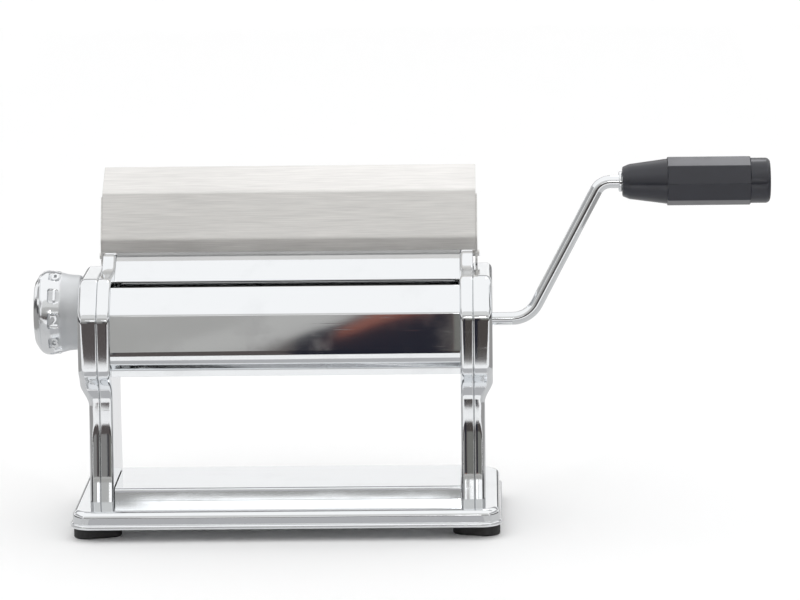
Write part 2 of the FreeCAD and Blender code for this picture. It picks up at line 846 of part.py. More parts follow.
def knob_set():
    knob = new_body("knob")
    inner = -size("knob_inner")
    seam = -size("knob_seam")
    rim = size("knob_rim")
    web = inner - 4.0
    turned(knob, [
        (inner, 0, 0), (inner, rim - 2.4, 1.0), (inner - 6.0, rim - 1.9, 12), (inner - 9.5, rim - 0.9, 8),
        (inner - 13.0, rim, 8), (seam + 1.8, rim, 5), (seam, rim - 0.8, 0), (seam, 0, 0),
    ])
    bore(knob, str(seam), str(web - seam), "9", side=1)
    pocket_outline(knob, "YZ_Plane", str(web), square(4.4, 0), "5", 1)
    index_track(knob)
    # A sunken field for each figure.
    pads = add_sketch(knob, "XY_Plane", str(rim - 1.6))
    draw(pads, rectangle(inner - 14.6, -3.7, inner - 8.6, 3.7, 1.3))
    dish = pocket(knob, pads, "5", 1)
    ring = knob.newObject("PartDesign::PolarPattern", "PolarPattern")
    ring.Originals = [dish]
    ring.Axis = (pads, ["H_Axis"])
    ring.Angle = 360
    ring.Occurrences = 10
    knob.Tip = ring
    doc.recompute()
    knob.Placement = Placement(Vector(), Rotation(Vector(1, 0, 0), figure_turn))
    keep_on_axis(knob, "knob", rear_axis_y)

    face = new_body("knob_face")
    end = -size("knob_outer")
    turned(face, [
        (seam, 0, 0),
        (seam, rim - 0.8, 0),
        (seam - 1.4, rim - 2.2, 1.5),
        (end, rim - 5.4, 3.0),
        (end, 0, 0),
    ])
    keep_on_axis(face, "knob_face", rear_axis_y)

    screw = new_body("knob_screw")
    pad_ring(screw, "-108", "2", "4.5")
    pad_ring(screw, "-106", "8", "1.3")
    keep_on_axis(screw, "knob_screw", rear_axis_y)

    spring = new_body("knob_spring")
    wire = add_sketch(spring, "XY_Plane")
    draw_circle(wire, "0.3", (-105.7, 3.7))
    coil = spring.newObject("PartDesign::AdditiveHelix", "AdditiveHelix")
    coil.Profile = wire
    coil.ReferenceAxis = (wire, ["H_Axis"])
    coil.Mode = "height-turns-angle"
    coil.Height = 6.3
    coil.Turns = 4
    doc.recompute()
    keep_on_axis(spring, "knob_spring", rear_axis_y)

    pin = new_body("index_pin")
    start = "-(sizes.cover_half - sizes.shell_wall)"
    pad_ring(pin, start, "4.9", str(index_radius), side=-1, centre=(index_y, index_z))
    keep_on_axis(pin, "index_pin", rear_axis_y)


def index_track(knob):
    # An arc shaped groove in the knob's inner face, with a wider place at every step.
    turn = size("knob_steps") * size("step_angle")
    half_width = 1.45
    start = 90.0
    stop = start + turn
    outer = arc_points(index_circle + half_width, start, stop)
    inner = arc_points(index_circle - half_width, stop, start)
    sketch = add_sketch(knob, "YZ_Plane", "-sizes.knob_inner")
    sketch.addGeometry([
        Part.Arc(*outer),
        Part.Arc(outer[2], end_point(stop, 1, half_width), inner[0]),
        Part.Arc(*inner),
        Part.Arc(inner[2], end_point(start, -1, half_width), outer[0]),
    ], False)
    pocket(knob, sketch, "3", -1)
    steps = add_sketch(knob, "YZ_Plane", "-sizes.knob_inner")
    for index in range(int(size("knob_steps")) + 1):
        centre = arc_points(index_circle, start + index * size("step_angle"), start)[0]
        draw_circle(steps, "1.75", (centre.x, centre.y))
    pocket(knob, steps, "3", -1)


def end_point(angle, way, half_width):
    # The point furthest along the groove, in the middle of its round end.
    radial = Vector(math.cos(math.radians(angle)), math.sin(math.radians(angle)), 0)
    tangent = Vector(-radial.y, radial.x, 0)
    return radial * index_circle + tangent * (way * half_width)


def path_curves(points):
    # Lines and arcs of an open path. Each point is (u, v, radius).
    curves = []
    leave = flat(*points[0][:2])
    for index in range(1, len(points) - 1):
        u, v, radius = points[index]
        before = flat(*points[index - 1][:2])
        after = flat(*points[index + 1][:2])
        first, last, centre = corner_cut(before, flat(u, v), after, radius)
        middle = centre + (flat(u, v) - centre).normalize() * radius
        curves.append(Part.LineSegment(leave, first))
        curves.append(Part.Arc(first, middle, last))
        leave = last
    curves.append(Part.LineSegment(leave, flat(*points[-1][:2])))
    return curves


rod_end = size("facet_end") - 0.6


def crank_set():
    rod = new_body("crank_rod")
    square_end = 86.5
    profile = add_sketch(rod, "YZ_Plane", str(square_end))
    draw_circle(profile, "sizes.rod_dia / 2")
    path = add_sketch(rod, "XZ_Plane")
    throw = size("crank_throw")
    path.addGeometry(path_curves([
        (square_end, 0, 0),
        (size("elbow_out"), 0, 12.7),
        (size("elbow_grip"), throw, 7.5),
        (rod_end, throw, 0),
    ]), False)
    pipe = rod.newObject("PartDesign::AdditivePipe", "AdditivePipe")
    pipe.Profile = profile
    pipe.Spine = path
    doc.recompute()
    pad_outline(rod, "YZ_Plane", str(square_end), square(4.0), "9.5", -1)
    keep_on_axis(rod, "crank_rod", front_axis_y)

    collar = new_body("grip_collar")
    hole = size("rod_dia") / 2
    collar_end = size("grip_start") - 0.2
    collar_start = collar_end - 1.4
    turned(collar, [
        (collar_start, hole, 0), (collar_start, 4.6, 0.5), (collar_end, 4.6, 0.4), (collar_end, hole, 0),
    ])
    keep_on_grip(collar, "grip_collar")

    clip = new_body("grip_clip")
    pad_ring(clip, str(rod_end - 3.7), "1.2", "5.4", "sizes.rod_dia / 2")
    keep_on_grip(clip, "grip_clip")


def keep_on_grip(body, label):
    return keep(body, label, front_axis_y, "sizes.axis_height + sizes.crank_throw")


cap_radius = 6.2


def grip_set():
    grip = new_body("grip")
    start = size("grip_start")
    end = size("grip_end")
    plain = size("grip_plain")
    turned(grip, [
        (start, 0, 0), (start, 6.6, 0.8), (start + 3.0, 7.9, 6), (size("facet_start"), plain, 12),
        (end, plain, 4.5), (end, 0, 0),
    ])
    # Eight flats round the middle of the grip, with an edge at the top.
    rim = size("grip_rim")
    facets = []
    for index in range(8):
        angle = -index * math.pi / 4
        facets.append((rim * math.cos(angle), rim * math.sin(angle), 1.0))
    pad_outline(grip, "YZ_Plane", "sizes.facet_start", facets, "sizes.facet_end - sizes.facet_start")
    cavity = rod_end - 4.0
    bore(grip, str(start), "70", "sizes.rod_dia / 2 + sizes.fit_gap", side=1)
    bore(grip, str(cavity), "20", str(cap_radius), side=1)
    keep_on_grip(grip, "grip")

    cap = new_body("grip_cap")
    cap_start = rod_end + 2.5
    turned(cap, [
        (cap_start, 0, 0), (cap_start, cap_radius, 0.4), (end - 0.8, cap_radius, 0),
        (end - 0.2, cap_radius - 0.6, 2.0), (end - 0.2, 0, 0),
    ])
    keep_on_grip(cap, "grip_cap")


# The dough guide's front face, from its upper edge down to the lip, as (y, z, bend radius).
guide_path = [(42.0, 158.0, 0), (25.0, 148.5, 3.0), (17.0, 127.5, 5.0), (16.7, 121.4, 0)]


def dough_guide():
    body = new_body("dough_guide")
    section = strip(guide_path, size("guide_sheet"))
    pad_outline(body, "YZ_Plane", "-sizes.guide_half", section, "2 * sizes.guide_half")
    hang(body, "dough_guide")
    # A gusset behind each end of the guide carries the pin that sits in the horn's slot.
    lip, low_bend, high_bend = section[4:7]
    for side in (-1, 1):
        bracket = new_body("guide_bracket")
        start = signed(side, "sizes.guide_half - 0.3")
        bottom = top_z + 0.4
        outline = [
            (pin_y - 4.0, bottom, 1.5),
            (pin_y - 4.0, lip[1] - 1.15, 0),
            (lip[0], lip[1], 0),
            (low_bend[0], low_bend[1], low_bend[2]),
            (high_bend[0], high_bend[1] - 2.0, 0),
            (high_bend[0] + 6.0, high_bend[1] - 2.0, 2.5),
            (pin_y + 5.6, 126.0, 6.0),
            (pin_y + 5.6, bottom, 3.0),
        ]
        pad_outline(bracket, "YZ_Plane", start, outline, "sizes.bracket_sheet", side)
        pin_start = signed(side, "sizes.plate_inside + 0.8")
        reach = "sizes.guide_half - sizes.plate_inside + 0.8"
        pad_ring(bracket, pin_start, reach, str(pin_radius), side=side, centre=(pin_y, pin_z))
        hang(bracket, side_names[side] + "_guide_bracket")


def hang(item, label):
    keep(item, label)
    item.setExpression("Placement.Base.x", shift_rule + " + sizes.guide_offset")
    return item


for side in (-1, 1):
    side_plate(side)
    side_cover(side)
base_plate()
base_bridge()
feet()
base_fasteners()
covers()
scrapers()
tie_rod_set()
front_bushes()
front_roller()
gear("front_gear", 0.0, "sizes.journal_dia / 2", front_axis_y)
rear_roller()
gear("rear_gear", 15.0, "sizes.hollow_journal_dia / 2", rear_axis_y)
rear_carriage()
adjusting_gear()
knob_set()
crank_set()
grip_set()
dough_guide()
doc.recompute()

for item in doc.Objects:
    if "Invalid" in item.State or "Error" in item.State:
        raise RuntimeError("failed: " + item.Name)
os.makedirs("parts", exist_ok=True)
for item in parts:
    if item.Shape.isNull() or not item.Shape.isValid():
        raise RuntimeError("bad shape: " + item.Label)
    item.Shape.exportStep("parts/" + item.Label + ".step")
    print(item.Label, round(item.Shape.Volume, 1))
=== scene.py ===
import json
import math
import bpy
import bmesh
from mathutils import Matrix, Vector


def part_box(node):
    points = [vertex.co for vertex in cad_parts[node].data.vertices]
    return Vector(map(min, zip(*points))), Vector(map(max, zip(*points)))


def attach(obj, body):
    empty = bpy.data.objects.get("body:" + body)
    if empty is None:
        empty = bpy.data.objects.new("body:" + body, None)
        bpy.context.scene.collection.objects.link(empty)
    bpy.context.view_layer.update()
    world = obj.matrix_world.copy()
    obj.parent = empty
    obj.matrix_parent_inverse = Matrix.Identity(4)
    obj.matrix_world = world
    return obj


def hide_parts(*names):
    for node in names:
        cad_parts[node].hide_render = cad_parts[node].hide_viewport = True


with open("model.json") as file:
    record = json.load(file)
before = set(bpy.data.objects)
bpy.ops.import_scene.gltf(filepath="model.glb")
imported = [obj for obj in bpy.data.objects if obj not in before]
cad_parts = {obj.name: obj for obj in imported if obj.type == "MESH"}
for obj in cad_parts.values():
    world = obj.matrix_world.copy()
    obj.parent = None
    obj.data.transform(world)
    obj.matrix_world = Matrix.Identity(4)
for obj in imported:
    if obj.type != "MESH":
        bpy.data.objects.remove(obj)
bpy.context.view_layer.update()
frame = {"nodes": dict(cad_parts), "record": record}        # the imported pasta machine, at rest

mm = 0.001
middleX = (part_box("left_side_cover")[0].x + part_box("right_side_cover")[1].x) / 2 / mm
print("frame loaded:", len(frame["nodes"]), "nodes")


# Places and sizes. Settings are in mm from the middle of the machine: x to the crank, y to the
# back, z up.

def place(x, y, z):
    return Vector(((x + middleX) * mm, y * mm, z * mm))


def acrossOf(name):
    low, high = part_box(name)
    return low.x / mm - middleX, high.x / mm - middleX


def depthOf(name):
    low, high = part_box(name)
    return low.y / mm, high.y / mm


def heightOf(name):
    low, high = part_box(name)
    return low.z / mm, high.z / mm


def centreOf(name):
    # Where the axis of a round node lies, as (y, z).
    return sum(depthOf(name)) / 2, sum(heightOf(name)) / 2


# Camera

cameraSettings = {
    "lens": 198.0,                       # mm
    "sensor": 36.0,                      # mm wide
    "distance": 1.985,                   # m, along the view to the anchor
    "pitch": 9.2,                        # degrees below level
    "yaw": 1.17,                         # degrees, turned to the left
    "roll": 0.71,                        # degrees, lifts the right of the picture
    "anchor": (0.0, -42.0, 0.0),         # on the table, between the front feet
    "anchorPixel": (286.7, 537.0),       # where the anchor lies in the picture
    "pictureSize": (800, 600),
    "sight": 30.0,                       # m, the furthest that the camera sees
}


def addCamera(settings):
    pitch = math.radians(settings["pitch"])
    yaw = math.radians(settings["yaw"])
    roll = math.radians(settings["roll"])
    level = Vector((-math.sin(yaw), math.cos(yaw), 0))
    forward = level * math.cos(pitch) - Vector((0, 0, math.sin(pitch)))
    right = Vector((math.cos(yaw), math.sin(yaw), 0))
    up = right.cross(forward)
    rolledRight = right * math.cos(roll) - up * math.sin(roll)
    rolledUp = up * math.cos(roll) + right * math.sin(roll)
    width, height = settings["pictureSize"]
    focal = settings["lens"] / settings["sensor"] * width
    across = (settings["anchorPixel"][0] - width / 2) / focal
    upward = (height / 2 - settings["anchorPixel"][1]) / focal
    ray = forward + across * rolledRight + upward * rolledUp
    data = bpy.data.cameras.new("camera")
    data.lens = settings["lens"]
    data.sensor_width = settings["sensor"]
    data.clip_end = settings["sight"]
    camera = bpy.data.objects.new("camera", data)
    bpy.context.scene.collection.objects.link(camera)
    turn = Matrix((rolledRight, rolledUp, -forward)).transposed()
    spot = place(*settings["anchor"]) - settings["distance"] * ray
    camera.matrix_world = Matrix.Translation(spot) @ turn.to_4x4()
    bpy.context.scene.camera = camera


addCamera(cameraSettings)
print("camera placed")


# Outlines: a path is a row of corners (u, v, radius)

def turnedVector(vector, angle):
    return Vector((
        vector.x * math.cos(angle) - vector.y * math.sin(angle),
        vector.x * math.sin(angle) + vector.y * math.cos(angle),
    ))


def offsetPath(path, distance):
    # An open path moved to its left.
    moved = []
    for index, (u, v, radius) in enumerate(path):
        here = Vector((u, v))
        runs = []
        if index > 0:
            runs.append((here - Vector(path[index - 1][:2])).normalized())
        if index < len(path) - 1:
            runs.append((Vector(path[index + 1][:2]) - here).normalized())
        lean = sum((Vector((-run.y, run.x)) for run in runs), Vector((0, 0))) / len(runs)
        spot = here + lean * (distance / lean.length_squared)
        if radius > 0 and len(runs) == 2:
            left = runs[0].cross(runs[1]) > 0
            radius = max(radius - distance if left else radius + distance, 0.01)
        moved.append((spot.x, spot.y, radius))
    return moved


def roundedPath(path, closed=False, stepAngle=7.5):
    # Plain points of the path. A corner gives the same number of points whatever its radius.
    count = len(path)
    points = []
    for index, (u, v, radius) in enumerate(path):
        here = Vector((u, v))
        atEnd = not closed and index in (0, count - 1)
        if atEnd or radius <= 0:
            points.append(here)
            continue
        one = (Vector(path[index - 1][:2]) - here).normalized()
        two = (Vector(path[(index + 1) % count][:2]) - here).normalized()
        half = one.angle(two) / 2
        centre = here + (one + two).normalized() * (radius / math.sin(half))
        arm = here + one * (radius / math.tan(half)) - centre
        turn = math.copysign(math.pi - 2 * half, (-one).cross(two))
        steps = max(2, math.ceil(math.degrees(abs(turn)) / stepAngle))
        for step in range(steps + 1):
            points.append(centre + turnedVector(arm, turn * step / steps))
    return points


def rectangle(halfU, halfV, radius, centre=(0, 0), turn=0.0, stepAngle=7.5):
    # Points round a rectangle with round corners, turned by so many degrees.
    corners = []
    for u, v in ((-halfU, -halfV), (-halfU, halfV), (halfU, halfV), (halfU, -halfV)):
        spot = turnedVector(Vector((u, v)), math.radians(turn)) + Vector(centre)
        corners.append((spot.x, spot.y, radius))
    return roundedPath(corners, closed=True, stepAngle=stepAngle)


def sheetOutline(path, thickness):
    # Both faces of a folded sheet; the path is the outer one.
    return roundedPath(path) + roundedPath(offsetPath(path, thickness))[::-1]


# Meshes

weldGap = 0.0004         # points closer than this are joined
axisGap = 0.3            # radius at which the end of a turned piece closes flat
cutPast = 1.0            # cutters stand this far out of what they cut


def linkPiece(name, data):
    piece = bpy.data.objects.new(name, data)
    bpy.context.scene.collection.objects.link(piece)
    return piece


def meshPiece(name, verts, faces):
    data = bpy.data.meshes.new(name)
    data.from_pydata([tuple(vert) for vert in verts], [], faces)
    data.update()
    return linkPiece(name, data)


def joinRows(one, two, count, closed=True):
    # Faces between two rows of count points, which start at the points one and two.
    faces = []
    for index in range(count if closed else count - 1):
        after = (index + 1) % count
        faces.append([one + index, one + after, two + after, two + index])
    return faces


def ringPiece(name, rings, loop=False):
    # Skins a row of rings with the same number of points, and closes both ends or joins them.
    count = len(rings[0])
    verts = [vert for ring in rings for vert in ring]
    starts = range(0, len(verts), count)
    faces = [] if loop else [list(range(count)), list(range(starts[-1], len(verts)))]
    for one, two in zip(starts, starts[1:]):
        faces += joinRows(one, two, count)
    if loop:
        faces += joinRows(starts[-1], 0, count)
    return meshPiece(name, verts, faces)


def around(axis, x, radius, angle):
    # A place off an axis along x.
    return place(x, axis[0] + radius * math.cos(angle), axis[1] + radius * math.sin(angle))


def quarterRound(radius, step):
    # Points of a quarter circle, as distances from its two straight sides.
    turns = [math.radians(angle) for angle in range(0, 91, step)]
    return [(radius * (1 - math.sin(turn)), radius * (1 - math.cos(turn))) for turn in turns]


def prismPiece(name, outline, low, high):
    # A closed outline in y and z, drawn out along x.
    return ringPiece(name, [[place(x, point.x, point.y) for point in outline] for x in (low, high)])


def turnedPiece(name, profile, axis, count=96):
    # Turned about a line along x. The profile is (x, radius, corner radius).
    closed = [(profile[0][0], axisGap, 0)] + profile + [(profile[-1][0], axisGap, 0)]
    angles = [2 * math.pi * index / count for index in range(count)]
    return ringPiece(name, [[around(axis, point.x, point.y, angle) for angle in angles]
                            for point in roundedPath(closed)])


def weldedMesh(piece):
    # The piece's mesh to work on, with double points joined and faces outwards.
    mesh = bmesh.new()
    mesh.from_mesh(piece.data)
    bmesh.ops.remove_doubles(mesh, verts=mesh.verts, dist=weldGap * mm)
    bmesh.ops.recalc_face_normals(mesh, faces=mesh.faces)
    return mesh


def keepMesh(piece, mesh):
    mesh.to_mesh(piece.data)
    mesh.free()


def finishMesh(piece, bevel=0.0, sharp=38.0, crease=12.0):
    # Bevels edges over sharp degrees, and shades smooth up to crease degrees more. Flat faces
    # stay flat in their shading.
    mesh = weldedMesh(piece)
    if bevel:
        edges = [edge for edge in mesh.edges if edge.calc_face_angle(0) > math.radians(sharp)]
        bmesh.ops.bevel(mesh, geom=edges, offset=bevel * mm, segments=2, profile=0.5,
                        affect="EDGES", clamp_overlap=True)
    for face in mesh.faces:
        face.smooth = True
    for edge in mesh.edges:
        edge.smooth = edge.calc_face_angle(0) < math.radians(sharp + crease)
    keepMesh(piece, mesh)
    weighted = piece.modifiers.new("flatShading", "WEIGHTED_NORMAL")
    weighted.keep_sharp = True


def cutWith(piece, cutters):
    for solid in [piece] + cutters:
        keepMesh(solid, weldedMesh(solid))
    for cutter in cutters:
        cut = piece.modifiers.new("cut", "BOOLEAN")
        cut.object = cutter
        cut.solver = "EXACT"
    graph = bpy.context.evaluated_depsgraph_get()
    data = bpy.data.meshes.new_from_object(piece.evaluated_get(graph))
    piece.modifiers.clear()
    piece.data = data
    for cutter in cutters:
        bpy.data.objects.remove(cutter)


# Shader helpers

def addNode(tree, kind, **values):
    # A value goes to the input of its name, or to the node's own setting.
    item = tree.nodes.new(kind)
    for key, value in values.items():
        if key in item.inputs:
            item.inputs[key].default_value = value
        else:
            setattr(item, key, value)
    return item


def feed(tree, socket, source):
    # From another node's socket, or a plain number.
    if isinstance(source, (int, float)):
        socket.default_value = source
    else:
        tree.links.new(source, socket)


def mathNode(tree, operation, one, two=0.0):
    item = addNode(tree, "ShaderNodeMath", operation=operation)
    feed(tree, item.inputs[0], one)
    feed(tree, item.inputs[1], two)
    return item.outputs[0]


def plus(tree, one, two):
    return mathNode(tree, "ADD", one, two)


def minus(tree, one, two):
    return mathNode(tree, "SUBTRACT", one, two)


def times(tree, one, two):
    return mathNode(tree, "MULTIPLY", one, two)


def risingMask(tree, source, low, high):
    # 0 below low, 1 above high.
    item = addNode(tree, "ShaderNodeMapRange", interpolation_type="SMOOTHSTEP")
    item.inputs["From Min"].default_value = low
    item.inputs["From Max"].default_value = high
    tree.links.new(source, item.inputs["Value"])
    return item.outputs["Result"]


def stretchedNoise(tree, stretch, scale, detail, turn=(0, 0, 0)):
    # Noise on the piece's own coordinates, drawn out where stretch is below 1.
    coords = addNode(tree, "ShaderNodeTexCoord")
    mapping = addNode(tree, "ShaderNodeMapping", Scale=stretch, Rotation=turn)
    noise = addNode(tree, "ShaderNodeTexNoise", Detail=detail, Roughness=0.55)
    tree.links.new(coords.outputs["Object"], mapping.inputs["Vector"])
    tree.links.new(mapping.outputs["Vector"], noise.inputs["Vector"])
    feed(tree, noise.inputs["Scale"], scale)
    return noise.outputs["Fac"]


def layOut(tree, columnWidth=200, rowHeight=180):
    # Columns from right to left, each node left of everything that it feeds.
    column = {item.name: 0 for item in tree.nodes}
    for item in tree.nodes:
        for link in tree.links:
            fed = column[link.to_node.name]
            column[link.from_node.name] = max(column[link.from_node.name], fed + 1)
    used = {}
    for item in tree.nodes:
        here = column[item.name]
        item.location = (-columnWidth * here, -rowHeight * used.get(here, 0))
        used[here] = used.get(here, 0) + 1


# Node groups that several finishes share

def shaderGroup(name, inputs, outputs):
    group = bpy.data.node_groups.new(name, "ShaderNodeTree")
    number = "NodeSocketFloat"
    for label, value in inputs.items():
        socket = group.interface.new_socket(name=label, in_out="INPUT", socket_type=number)
        socket.default_value = value
    for label in outputs:
        group.interface.new_socket(name=label, in_out="OUTPUT", socket_type=number)
    return group, addNode(group, "NodeGroupInput").outputs, addNode(group, "NodeGroupOutput").inputs


def makeWavinessGroup():
    # The slow unevenness of a pressed and plated sheet.
    group, given, result = shaderGroup("sheetWaviness", {"Scale": 22.0, "Depth": 0.05}, ["Height"])
    broad = stretchedNoise(group, (1, 1, 1), given["Scale"], 1.0)
    drawn = stretchedNoise(group, (0.25, 1, 1), given["Scale"], 2.0)
    total = plus(group, broad, times(group, drawn, 0.5))
    group.links.new(times(group, total, given["Depth"]), result["Height"])
    return group


def makeHandlingGroup():
    # Faint finger marks and dust, as a mask.
    group, given, result = shaderGroup("handlingMarks", {"Scale": 45.0, "Amount": 0.5}, ["Mask"])
    blot = stretchedNoise(group, (1, 1, 1), given["Scale"], 5.0)
    speck = stretchedNoise(group, (1, 1, 1), 1900.0, 2.0)
    marks = risingMask(group, blot, 0.5, 0.78)
    dust = risingMask(group, speck, 0.70, 0.80)
    total = plus(group, marks, times(group, dust, 0.6))
    group.links.new(times(group, total, given["Amount"]), result["Mask"])
    return group


scratchSettings = {
    "turns": ((0.2, 0.1, 0.35), (0.9, 0.4, -0.5), (-0.6, 1.2, 0.15)),    # radians
    "patchScales": (60.0, 85.0, 110.0),  # where each direction's lines show at all
    "patchEdge": (0.52, 0.7),
    "lineScale": 900.0,
    "lineEdge": (0.66, 0.72),
    "depth": 0.004,
}


def makeScratchGroup():
    # Hairline scratches in three directions, as a mask and as a height.
    group, given, result = shaderGroup("hairScratches", {"Amount": 0.4}, ["Mask", "Height"])
    settings = scratchSettings
    total = None
    for turn, patchScale in zip(settings["turns"], settings["patchScales"]):
        lines = stretchedNoise(group, (0.02, 1, 1), settings["lineScale"], 1.0, turn)
        patches = stretchedNoise(group, (1, 1, 1), patchScale, 2.0)
        lines = times(group, risingMask(group, lines, *settings["lineEdge"]),
                      risingMask(group, patches, *settings["patchEdge"]))
        total = lines if total is None else mathNode(group, "MAXIMUM", total, lines)
    strength = times(group, total, given["Amount"])
    group.links.new(strength, result["Mask"])
    group.links.new(times(group, strength, -settings["depth"]), result["Height"])
    return group


brushLayers = {
    # name: (stretch, scale, detail, weight)
    "fine": ((0.03, 1, 1), 2300.0, 3.0, 0.45),
    "middle": ((0.07, 1, 1), 520.0, 4.0, 0.3),
    "broad": ((0.45, 1, 1), 34.0, 4.0, 0.25),
}
brushDepth = 0.012


def makeBrushGroup():
    # Brush lines along x over broad clouds, as a tone around 0 and as a height.
    group, given, result = shaderGroup("brushLines", {"Contrast": 1.0}, ["Tone", "Height"])
    layers = {}
    for name, (stretch, scale, detail, weight) in brushLayers.items():
        layers[name] = times(group, stretchedNoise(group, stretch, scale, detail), weight)
    lines = plus(group, layers["fine"], layers["middle"])
    centred = minus(group, plus(group, lines, layers["broad"]), 0.5)
    group.links.new(times(group, centred, given["Contrast"]), result["Tone"])
    group.links.new(times(group, lines, brushDepth), result["Height"])
    return group


groups = {
    "waviness": makeWavinessGroup(),
    "handling": makeHandlingGroup(),
    "scratches": makeScratchGroup(),
    "brush": makeBrushGroup(),
}
for group in groups.values():
    layOut(group)


# Finishes

def useGroup(tree, name, **values):
    item = addNode(tree, "ShaderNodeGroup", node_tree=groups[name])
    for key, value in values.items():
        item.inputs[key].default_value = value
    return item.outputs


def newMaterial(name):
    material = bpy.data.materials.new(name)
    material.use_nodes = True
    return material, material.node_tree, material.node_tree.nodes["Principled BSDF"]


def addBump(tree, shader, height):
    bump = addNode(tree, "ShaderNodeBump", Strength=1.0, Distance=mm)
    tree.links.new(height, bump.inputs["Height"])
    tree.links.new(bump.outputs["Normal"], shader.inputs["Normal"])


def castMask(tree, axis, radius, seam):
    # 1 on the unpolished skin of a turned casting: nearer to its axis than radius, and inboard
    # of the seam.
    coords = addNode(tree, "ShaderNodeTexCoord")
    parts = addNode(tree, "ShaderNodeSeparateXYZ")
    tree.links.new(coords.outputs["Object"], parts.inputs["Vector"])
    across = minus(tree, parts.outputs["Y"], axis[0] * mm)
    upward = minus(tree, parts.outputs["Z"], axis[1] * mm)
    squares = plus(tree, times(tree, across, across), times(tree, upward, upward))
    away = mathNode(tree, "SQRT", squares)
    far = risingMask(tree, away, (radius - 0.25) * mm, (radius + 0.1) * mm)
    inboard = risingMask(tree, parts.outputs["X"], place(seam, 0, 0).x, place(seam + 0.3, 0, 0).x)
    return times(tree, minus(tree, 1.0, far), inboard)


def addTone(tree, shader, color, tone, darkest=0.82, lightest=1.18):
    # The base colour, made darker and lighter by a tone around 0.
    mix = addNode(tree, "ShaderNodeMix", data_type="RGBA")
    mix.inputs["A"].default_value = (*[darkest * part for part in color], 1)
    mix.inputs["B"].default_value = (*[min(lightest * part, 1.0) for part in color], 1)
    tree.links.new(plus(tree, tone, 0.5), mix.inputs["Factor"])
    tree.links.new(mix.outputs["Result"], shader.inputs["Base Color"])


def chromeMaterial(name, settings):
    material, tree, shader = newMaterial(name)
    shader.inputs["Metallic"].default_value = 1.0
    dull = useGroup(tree, "handling", Amount=settings["marks"])["Mask"]
    scratches = useGroup(tree, "scratches", Amount=settings["scratches"])
    waves = useGroup(tree, "waviness", Scale=settings["waveScale"], Depth=settings["waveDepth"])
    if "cast" in settings:
        skin = castMask(tree, *settings["cast"])
        dull = plus(tree, dull, times(tree, skin, settings["castDull"]))
    addTone(tree, shader, settings["color"], times(tree, dull, -settings["darken"]))
    worn = plus(tree, times(tree, dull, settings["roughen"]),
                times(tree, scratches["Mask"], settings["scratchRoughen"]))
    tree.links.new(plus(tree, worn, settings["roughness"]), shader.inputs["Roughness"])
    addBump(tree, shader, plus(tree, waves["Height"], scratches["Height"]))
    return material


def brushedMaterial(name, settings):
    material, tree, shader = newMaterial(name)
    shader.inputs["Metallic"].default_value = 1.0
    brush = useGroup(tree, "brush", Contrast=settings["contrast"])
    marks = useGroup(tree, "handling", Amount=settings["marks"])["Mask"]
    addTone(tree, shader, settings["color"], times(tree, brush["Tone"], settings["spread"]))
    worn = plus(tree, times(tree, marks, settings["roughen"]),
                times(tree, brush["Tone"], settings["toneRoughen"]))
    tree.links.new(plus(tree, worn, settings["roughness"]), shader.inputs["Roughness"])
    addBump(tree, shader, brush["Height"])
    return material


def grainMaterial(name, settings):
    # Moulded plastic, rubber or nylon with a fine grain.
    material, tree, shader = newMaterial(name)
    marks = useGroup(tree, "handling", Scale=settings["markScale"], Amount=settings["marks"])
    grain = stretchedNoise(tree, (1, 1, 1), settings["grainScale"], 3.0)
    cloud = minus(tree, stretchedNoise(tree, (1, 1, 1), settings["cloudScale"], 3.0), 0.5)
    addTone(tree, shader, settings["color"], times(tree, cloud, settings["spread"]))
    worn = times(tree, marks["Mask"], settings["roughen"])
    tree.links.new(plus(tree, worn, settings["roughness"]), shader.inputs["Roughness"])
    shader.inputs["Coat Weight"].default_value = settings["coat"]
    shader.inputs["Coat Roughness"].default_value = settings["coatRoughness"]
    addBump(tree, shader, times(tree, grain, settings["grainDepth"]))
    return material


chromeCommon = {"color": (0.80, 0.815, 0.83), "roughness": 0.045, "marks": 0.35, "scratches": 0.22,
                "darken": 0.35, "roughen": 0.15, "scratchRoughen": 0.12}
chromeFinishes = {
    "side_chrome": {"waveScale": 30.0, "waveDepth": 0.09},
    "cover_chrome": {"waveScale": 17.0, "waveDepth": 0.15},
    "base_chrome": {"waveScale": 20.0, "waveDepth": 0.035},
    "knob_chrome": {"waveScale": 60.0, "waveDepth": 0.06, "roughness": 0.12,
                    "cast": (centreOf("knob"), 18.45, -112.9), "castDull": 2.6},
    "rod_chrome": {"waveScale": 40.0, "waveDepth": 0.02},
}

brushedCommon = {"contrast": 0.6, "marks": 0.6, "spread": 2.0, "roughen": 0.12, "toneRoughen": 0.35}
brushedFinishes = {
    "guide_steel": {"color": (0.75, 0.738, 0.72), "roughness": 0.42, "contrast": 1.1, "marks": 0.5},
    "roller_steel": {"color": (0.62, 0.62, 0.62), "roughness": 0.24, "marks": 0.4},
    "gear_steel": {"color": (0.42, 0.40, 0.38), "roughness": 0.34, "contrast": 0.8, "marks": 0.8},
    "plain_steel": {"color": (0.55, 0.55, 0.55), "roughness": 0.32},
    "fastener_steel": {"color": (0.62, 0.61, 0.58), "roughness": 0.28, "contrast": 0.4},
    "scraper_steel": {"color": (0.60, 0.60, 0.60), "roughness": 0.25, "marks": 0.4},
}

